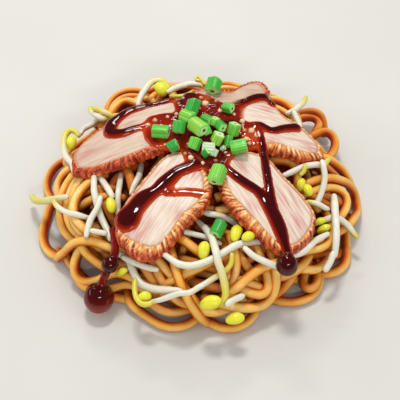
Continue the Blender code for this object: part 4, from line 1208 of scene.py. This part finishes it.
def settled_line(points, radius, droop=0.8):
    """A stem laid over the relief: it bridges hollows, bends little and droops at its ends."""
    whole = [(*p, -1.0) if len(p) == 2 else p for p in points]
    line = smooth_line(whole, 1.0)
    rest = np.array([ball_rests_at(x, y, radius) for x, y, _ in line])
    low = np.maximum(rest, line[:, 2])
    high = low.copy()
    for k in range(1, len(line)):
        high[k] = max(high[k], high[k - 1] - droop)
    for k in range(len(line) - 2, -1, -1):
        high[k] = max(high[k], high[k + 1] - droop)
    for _ in range(120):
        high[1:-1] = np.maximum(high[1:-1], 0.5 * (high[:-2] + high[2:]))
    for _ in range(4):
        soft = blurred(high, 3)
        high = soft + blurred(np.maximum(0, low - soft), 2) * 1.3
    return np.column_stack([line[:, :2], high + 0.1])


settle_relief(["noodles_under", "noodles_top"])
sprout_strands = []
for index, (points, start_yellow, end_yellow, thickness) in enumerate(STEMS):
    line = settled_line(points, STEM * thickness)
    first_way = (line[0] - line[4]) / np.linalg.norm(line[0] - line[4])
    last_way = (line[-1] - line[-5]) / np.linalg.norm(line[-1] - line[-5])
    under = [line[0] + first_way * k for k in range(FIRST_END_UNDER.get(index, 0), 0, -1)]
    over = [line[-1] + last_way * k for k in range(1, LAST_END_UNDER.get(index, 0) + 1)]
    line = np.array(under + list(line) + over)
    count = len(line)
    share = np.linspace(0, 1, count)
    wave = blurred(chance.normal(0, 1, count + 10), 5)[:count]
    radii = STEM * thickness * (1 + 0.10 * wave) * (0.72 + 0.28 * np.minimum(1, np.minimum(share, 1 - share) * 5))
    radii = rounded_ends(radii, 1.0)
    # the yellow fades out over the last third of its length
    from_start = np.clip(1.5 * (start_yellow - np.arange(count)) / max(1, start_yellow), 0, 1)
    from_end = np.clip(1.5 * (end_yellow - np.arange(count)[::-1]) / max(1, end_yellow), 0, 1)
    yellow = np.maximum(from_start, from_end)
    raise_relief(line, radii)
    sprout_strands.append((line, radii, {"yellow": yellow, "bean": 0.0}))
stem_points, stem_faces, stem_values = tubes(sprout_strands, 14)

bean_points, bean_faces, bean_values = [], [], {"yellow": [], "bean": [], "crest": [], "along": []}
BEAN_RINGS = 22
BEAN_SIDES = 28
for x, y, heading, length, half_width, height in BEANS:
    turn = math.radians(heading)
    ahead = np.array([math.cos(turn), math.sin(turn), 0.0])
    ends = [np.array([x, y, 0.0]) + ahead * length * t for t in (-0.3, 0, 0.3)]
    rests = [ball_rests_at(p[0], p[1], half_width) for p in ends]
    tilt = math.atan2(rests[2] - rests[0], 0.6 * length) if height is None else 0.15
    tilt = max(-0.1, min(0.6, tilt))
    ahead = ahead * math.cos(tilt) + np.array([0, 0, math.sin(tilt)])
    if height is None:
        height = ball_rests_at(x, y, half_width) - 0.4
    middle = np.array([x, y, height])
    across = np.cross(ahead, (0, 0, 1.0))
    across /= np.linalg.norm(across)
    upward = np.cross(across, ahead)
    start = len(bean_points)
    spin = chance.uniform(-0.5, 0.5)
    for ring in range(BEAN_RINGS):
        # rings closer together towards the ends, where a bean is blunt
        t = 0.5 - 0.5 * math.cos(math.pi * (0.04 + 0.92 * ring / (BEAN_RINGS - 1)))
        wide = half_width * (4 * t * (1 - t)) ** 0.5 * (1 + 0.14 * (t - 0.5))
        for side in range(BEAN_SIDES):
            angle = 2 * math.pi * side / BEAN_SIDES
            # the seam between the bean's halves
            seam = math.exp(-((angle - math.pi / 2 - spin) / 0.13) ** 2)
            out = wide * (1 - 0.07 * seam)
            spot = middle + ahead * length * (t - 0.5) + across * math.cos(angle) * out \
                + upward * math.sin(angle) * out * 0.92 + upward * 0.6 * math.sin(math.pi * t)
            bean_points.append(tuple(spot))
            bean_values["yellow"].append(1.0)
            bean_values["bean"].append(1.0 - 0.45 * seam)
            bean_values["crest"].append(0.5 + 0.5 * math.sin(angle))
            bean_values["along"].append(length * t)
    for ring in range(BEAN_RINGS - 1):
        for side in range(BEAN_SIDES):
            other = (side + 1) % BEAN_SIDES
            a = start + ring * BEAN_SIDES
            bean_faces.append((a + side, a + other, a + BEAN_SIDES + other, a + BEAN_SIDES + side))
    bean_faces.append([start + side for side in reversed(range(BEAN_SIDES))])
    bean_faces.append([start + (BEAN_RINGS - 1) * BEAN_SIDES + side for side in range(BEAN_SIDES)])

sprout_look, tree, shader = start_material("bean_sprout", 0.3)
yellow = kept_value(tree, "yellow")
bean = kept_value(tree, "bean")
crest = kept_value(tree, "crest")
place = add_node(tree, "TexCoord").outputs["Object"]
cloud = soft_cloud(tree, place, 160.0, 3.0, 0.55, 0.75)["Share"]
# stems lighter on their side turned out from the heap and beans on their upper side, darker on the other side:
# painted highlight and shade
pale = blend(tree, ramp(tree, crest, 0.2, 0.8), paint("B5B28A"), paint("E6E3D2"))
pale = blend(tree, cloud, pale, paint("F1EFE4"))
gold = blend(tree, ramp(tree, crest, 0.15, 0.75), paint("A8931C"), paint("DDD14C"))
seed = blend(tree, ramp(tree, crest, 0.1, 0.7), paint("B7A914"), paint("E9E63C"))
# the seam darkened: painted shade in its groove
seed = blend(tree, ramp(tree, bean, 0.75, 0.3), seed, paint("9A8C12"))
body = blend(tree, yellow, pale, gold)
body = blend(tree, ramp(tree, bean, 0.0, 0.2), body, seed)
tree.links.new(body, shader.inputs["Base Color"])
shader.inputs["Subsurface Weight"].default_value = 0.15
shader.inputs["Subsurface Radius"].default_value = (1.0, 0.8, 0.4)
shader.inputs["Subsurface Scale"].default_value = 0.0015

offset = len(stem_points)
points = np.vstack([stem_points, np.array(bean_points)])
faces = stem_faces + [[k + offset for k in face] for face in bean_faces]
values = {key: np.concatenate([stem_values[key], np.array(bean_values[key])]) for key in bean_values}
sprouts = add_mesh("bean_sprouts", points, faces, sprout_look, values)
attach(sprouts, "root")
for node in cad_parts:
    if node.startswith("sprout"):
        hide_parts(node)

# ---------------------------------------------------------------------------------------------
# The spring onion: the green part cut across into short lengths and dropped on last. Each is a
# few nested, flattened tubes with pale cut ends, dark or light green by how far up it was cut.
# ---------------------------------------------------------------------------------------------
# x, y, heading and tilt in degrees, length, radius, how light its skin is, how hollow its end is
ONIONS = [
    (-21.5, -1.5, -10, 4, 9.1, 3.5, 0.45, 0.3), (-14.5, -11, 20, 22, 5.3, 3.1, 0.1, 0.8),
    (-11.5, 0, 80, 30, 6.2, 3.3, 0.2, 0.4), (-7, 8, -35, 8, 7.2, 3.5, 0.65, 0.2),
    (-4, 14.5, 70, 24, 8.2, 3.6, 0.15, 0.9), (4, 6, -45, 12, 5.8, 2.9, 0.25, 0.2),
    (11, 1.5, -60, 12, 6.2, 2.7, 0.2, 0.2), (18.5, 1, 60, 62, 6.7, 3.2, 0.6, 0.1),
    (21, -12, 5, 12, 8.6, 3.8, 0.45, 0.6), (-3, -9.5, 65, 35, 6.2, 3.3, 0.5, 0.6),
    (4.8, -11.5, -8, 2, 6.7, 3.3, 1, 0.2), (9.5, -6.5, 35, 58, 5.8, 3.2, 0.85, 0.1),
    (-1, -1, -50, 8, 10.1, 4, 0.75, 0.2), (15.5, 16, -30, 12, 5.8, 2.8, 0.3, 0.4),
    (8, 37.5, 75, 14, 8.2, 4, 0.25, 0.5), (9, -31, 70, 8, 9.6, 4, 0.6, 0.3),
    (9.5, -55.5, 65, 10, 8.6, 3.3, 0.15, 0.3),
]
# short pieces between the others
BETWEEN = [
    (8, 4.5, 70, 60, 4.3, 2.5, 0.7, 0.1), (4, -2.3, 20, 15, 4.3, 2.3, 0.35, 0.2),
    (15.5, -6, 80, 20, 6.2, 2.1, 0.3, 0.2), (3.4, -14.5, 10, 55, 4.3, 2.3, 0.1, 0.6),
    (7.5, -14, 60, 35, 4.3, 2.2, 1, 0.1), (12.5, -10, 0, 40, 2.5, 1.5, 1, 0),
]
settle_relief(["sauce_over_slices"] + [name.replace("pork_", "roast_") for name in SLICES])
onion_points, onion_faces = [], []
onion_values = {"light": [], "cut": [], "inner": [], "turn": [], "along": []}
ONION_SIDES = 36
for x, y, heading, tilt, length, radius, light, hollow in ONIONS + BETWEEN:
    turn, rise = math.radians(heading), math.radians(tilt)
    ahead = np.array([math.cos(turn) * math.cos(rise), math.sin(turn) * math.cos(rise), math.sin(rise)])
    # a tipped piece stands on its lower end
    lift = 0.8 * max(0, math.sin(rise) * length / 2 + (math.cos(rise) - 1) * radius)
    middle = np.array([x, y, ball_rests_at(x, y, radius) + lift])
    across = np.cross(ahead, (0, 0, 1.0))
    across /= np.linalg.norm(across)
    upward = np.cross(across, ahead)
    phase = chance.uniform(0, 6.28)
    lean = chance.uniform(-0.12, 0.12)
    hole = radius * (0.16 + 0.34 * hollow)
    # the section from the middle of the one end, out over the skin, and back to the other end
    section = [(hole * 0.6, 0.5 - 0.30 * hollow - 0.08, 1), (hole * 0.92, 0.5 - 0.16 * hollow, 1),
               (hole, 0.485, 1), (hole * 1.08, 0.5, 1), (radius * 0.80, 0.505, 1), (radius * 0.94, 0.495, 1),
               (radius, 0.45, 0), (radius * 1.01, 0.22, 0), (radius * 0.985, 0.0, 0)]
    section = section + [(r, -a, c) for r, a, c in reversed(section[:-1])]
    start = len(onion_points)
    for out, at, cut in section:
        for side in range(ONION_SIDES):
            angle = 2 * math.pi * side / ONION_SIDES
            # soft flats where the stalk was pressed, and a slightly slanting cut
            flat = 1 - 0.10 * math.cos(4 * angle + phase) - 0.05 * math.cos(3 * angle + phase * 2)
            slant = lean * out * math.cos(angle + phase) * (1 if at > 0 else -1)
            spot = middle + ahead * (at * length + slant) + across * math.cos(angle) * out * flat \
                + upward * math.sin(angle) * out * flat * 0.9
            onion_points.append(tuple(spot))
            onion_values["light"].append(light)
            onion_values["cut"].append(float(cut))
            onion_values["inner"].append(1 - min(1.0, max(0.0, (out - hole) / (radius - hole))))
            onion_values["turn"].append(angle / 6.283 * 6 + phase)
            onion_values["along"].append((at + 0.5) * length)
    for ring in range(len(section) - 1):
        for side in range(ONION_SIDES):
            other = (side + 1) % ONION_SIDES
            a = start + ring * ONION_SIDES
            onion_faces.append((a + side, a + ONION_SIDES + side, a + ONION_SIDES + other, a + other))
    onion_faces.append([start + side for side in range(ONION_SIDES)])
    onion_faces.append([start + (len(section) - 1) * ONION_SIDES + side
                        for side in reversed(range(ONION_SIDES))])

onion_look, tree, shader = start_material("spring_onion", 0.34)
light = kept_value(tree, "light")
cut = kept_value(tree, "cut")
inner = kept_value(tree, "inner")
veins = add_node(tree, "CombineXYZ", X=kept_value(tree, "turn"), Y=0.0, Z=0.0)
veined = soft_cloud(tree, veins.outputs[0], 4.0, 3.0, 0.62, 0.42)["Share"]
skin = three_tones(tree, light, ("2CAE52", "7CD854", "C2EA68"), (0.0, 0.5), (0.45, 0.85))
skin = blend(tree, ramp(tree, light, 0.85, 1.0), skin, paint("F2F4E6"))
dark = blend(tree, 1.0, skin, paint("A8D8A4"), "MULTIPLY")
skin = blend(tree, veined, skin, dark)
flesh = blend(tree, ramp(tree, inner, 0.25, 0.6), paint("8CDC74"), paint("D2F09C"))
# the middle of a hollow end darker green: painted shade inside the hollow
flesh = blend(tree, ramp(tree, inner, 0.85, 1.0), flesh, paint("2C8A3C"))
flesh = blend(tree, ramp(tree, light, 0.75, 1.0), flesh, paint("E6F0CC"))
tree.links.new(blend(tree, cut, skin, flesh), shader.inputs["Base Color"])
shader.inputs["Subsurface Weight"].default_value = 0.1
shader.inputs["Subsurface Radius"].default_value = (0.4, 1.0, 0.3)
shader.inputs["Subsurface Scale"].default_value = 0.001

onions = add_mesh("spring_onions", onion_points, onion_faces, onion_look, onion_values)
onions.data.set_sharp_from_angle(angle=math.radians(50))
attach(onions, "root")
for number in range(1, len(ONIONS) + 1):
    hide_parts(f"spring_onion_{number:02d}")
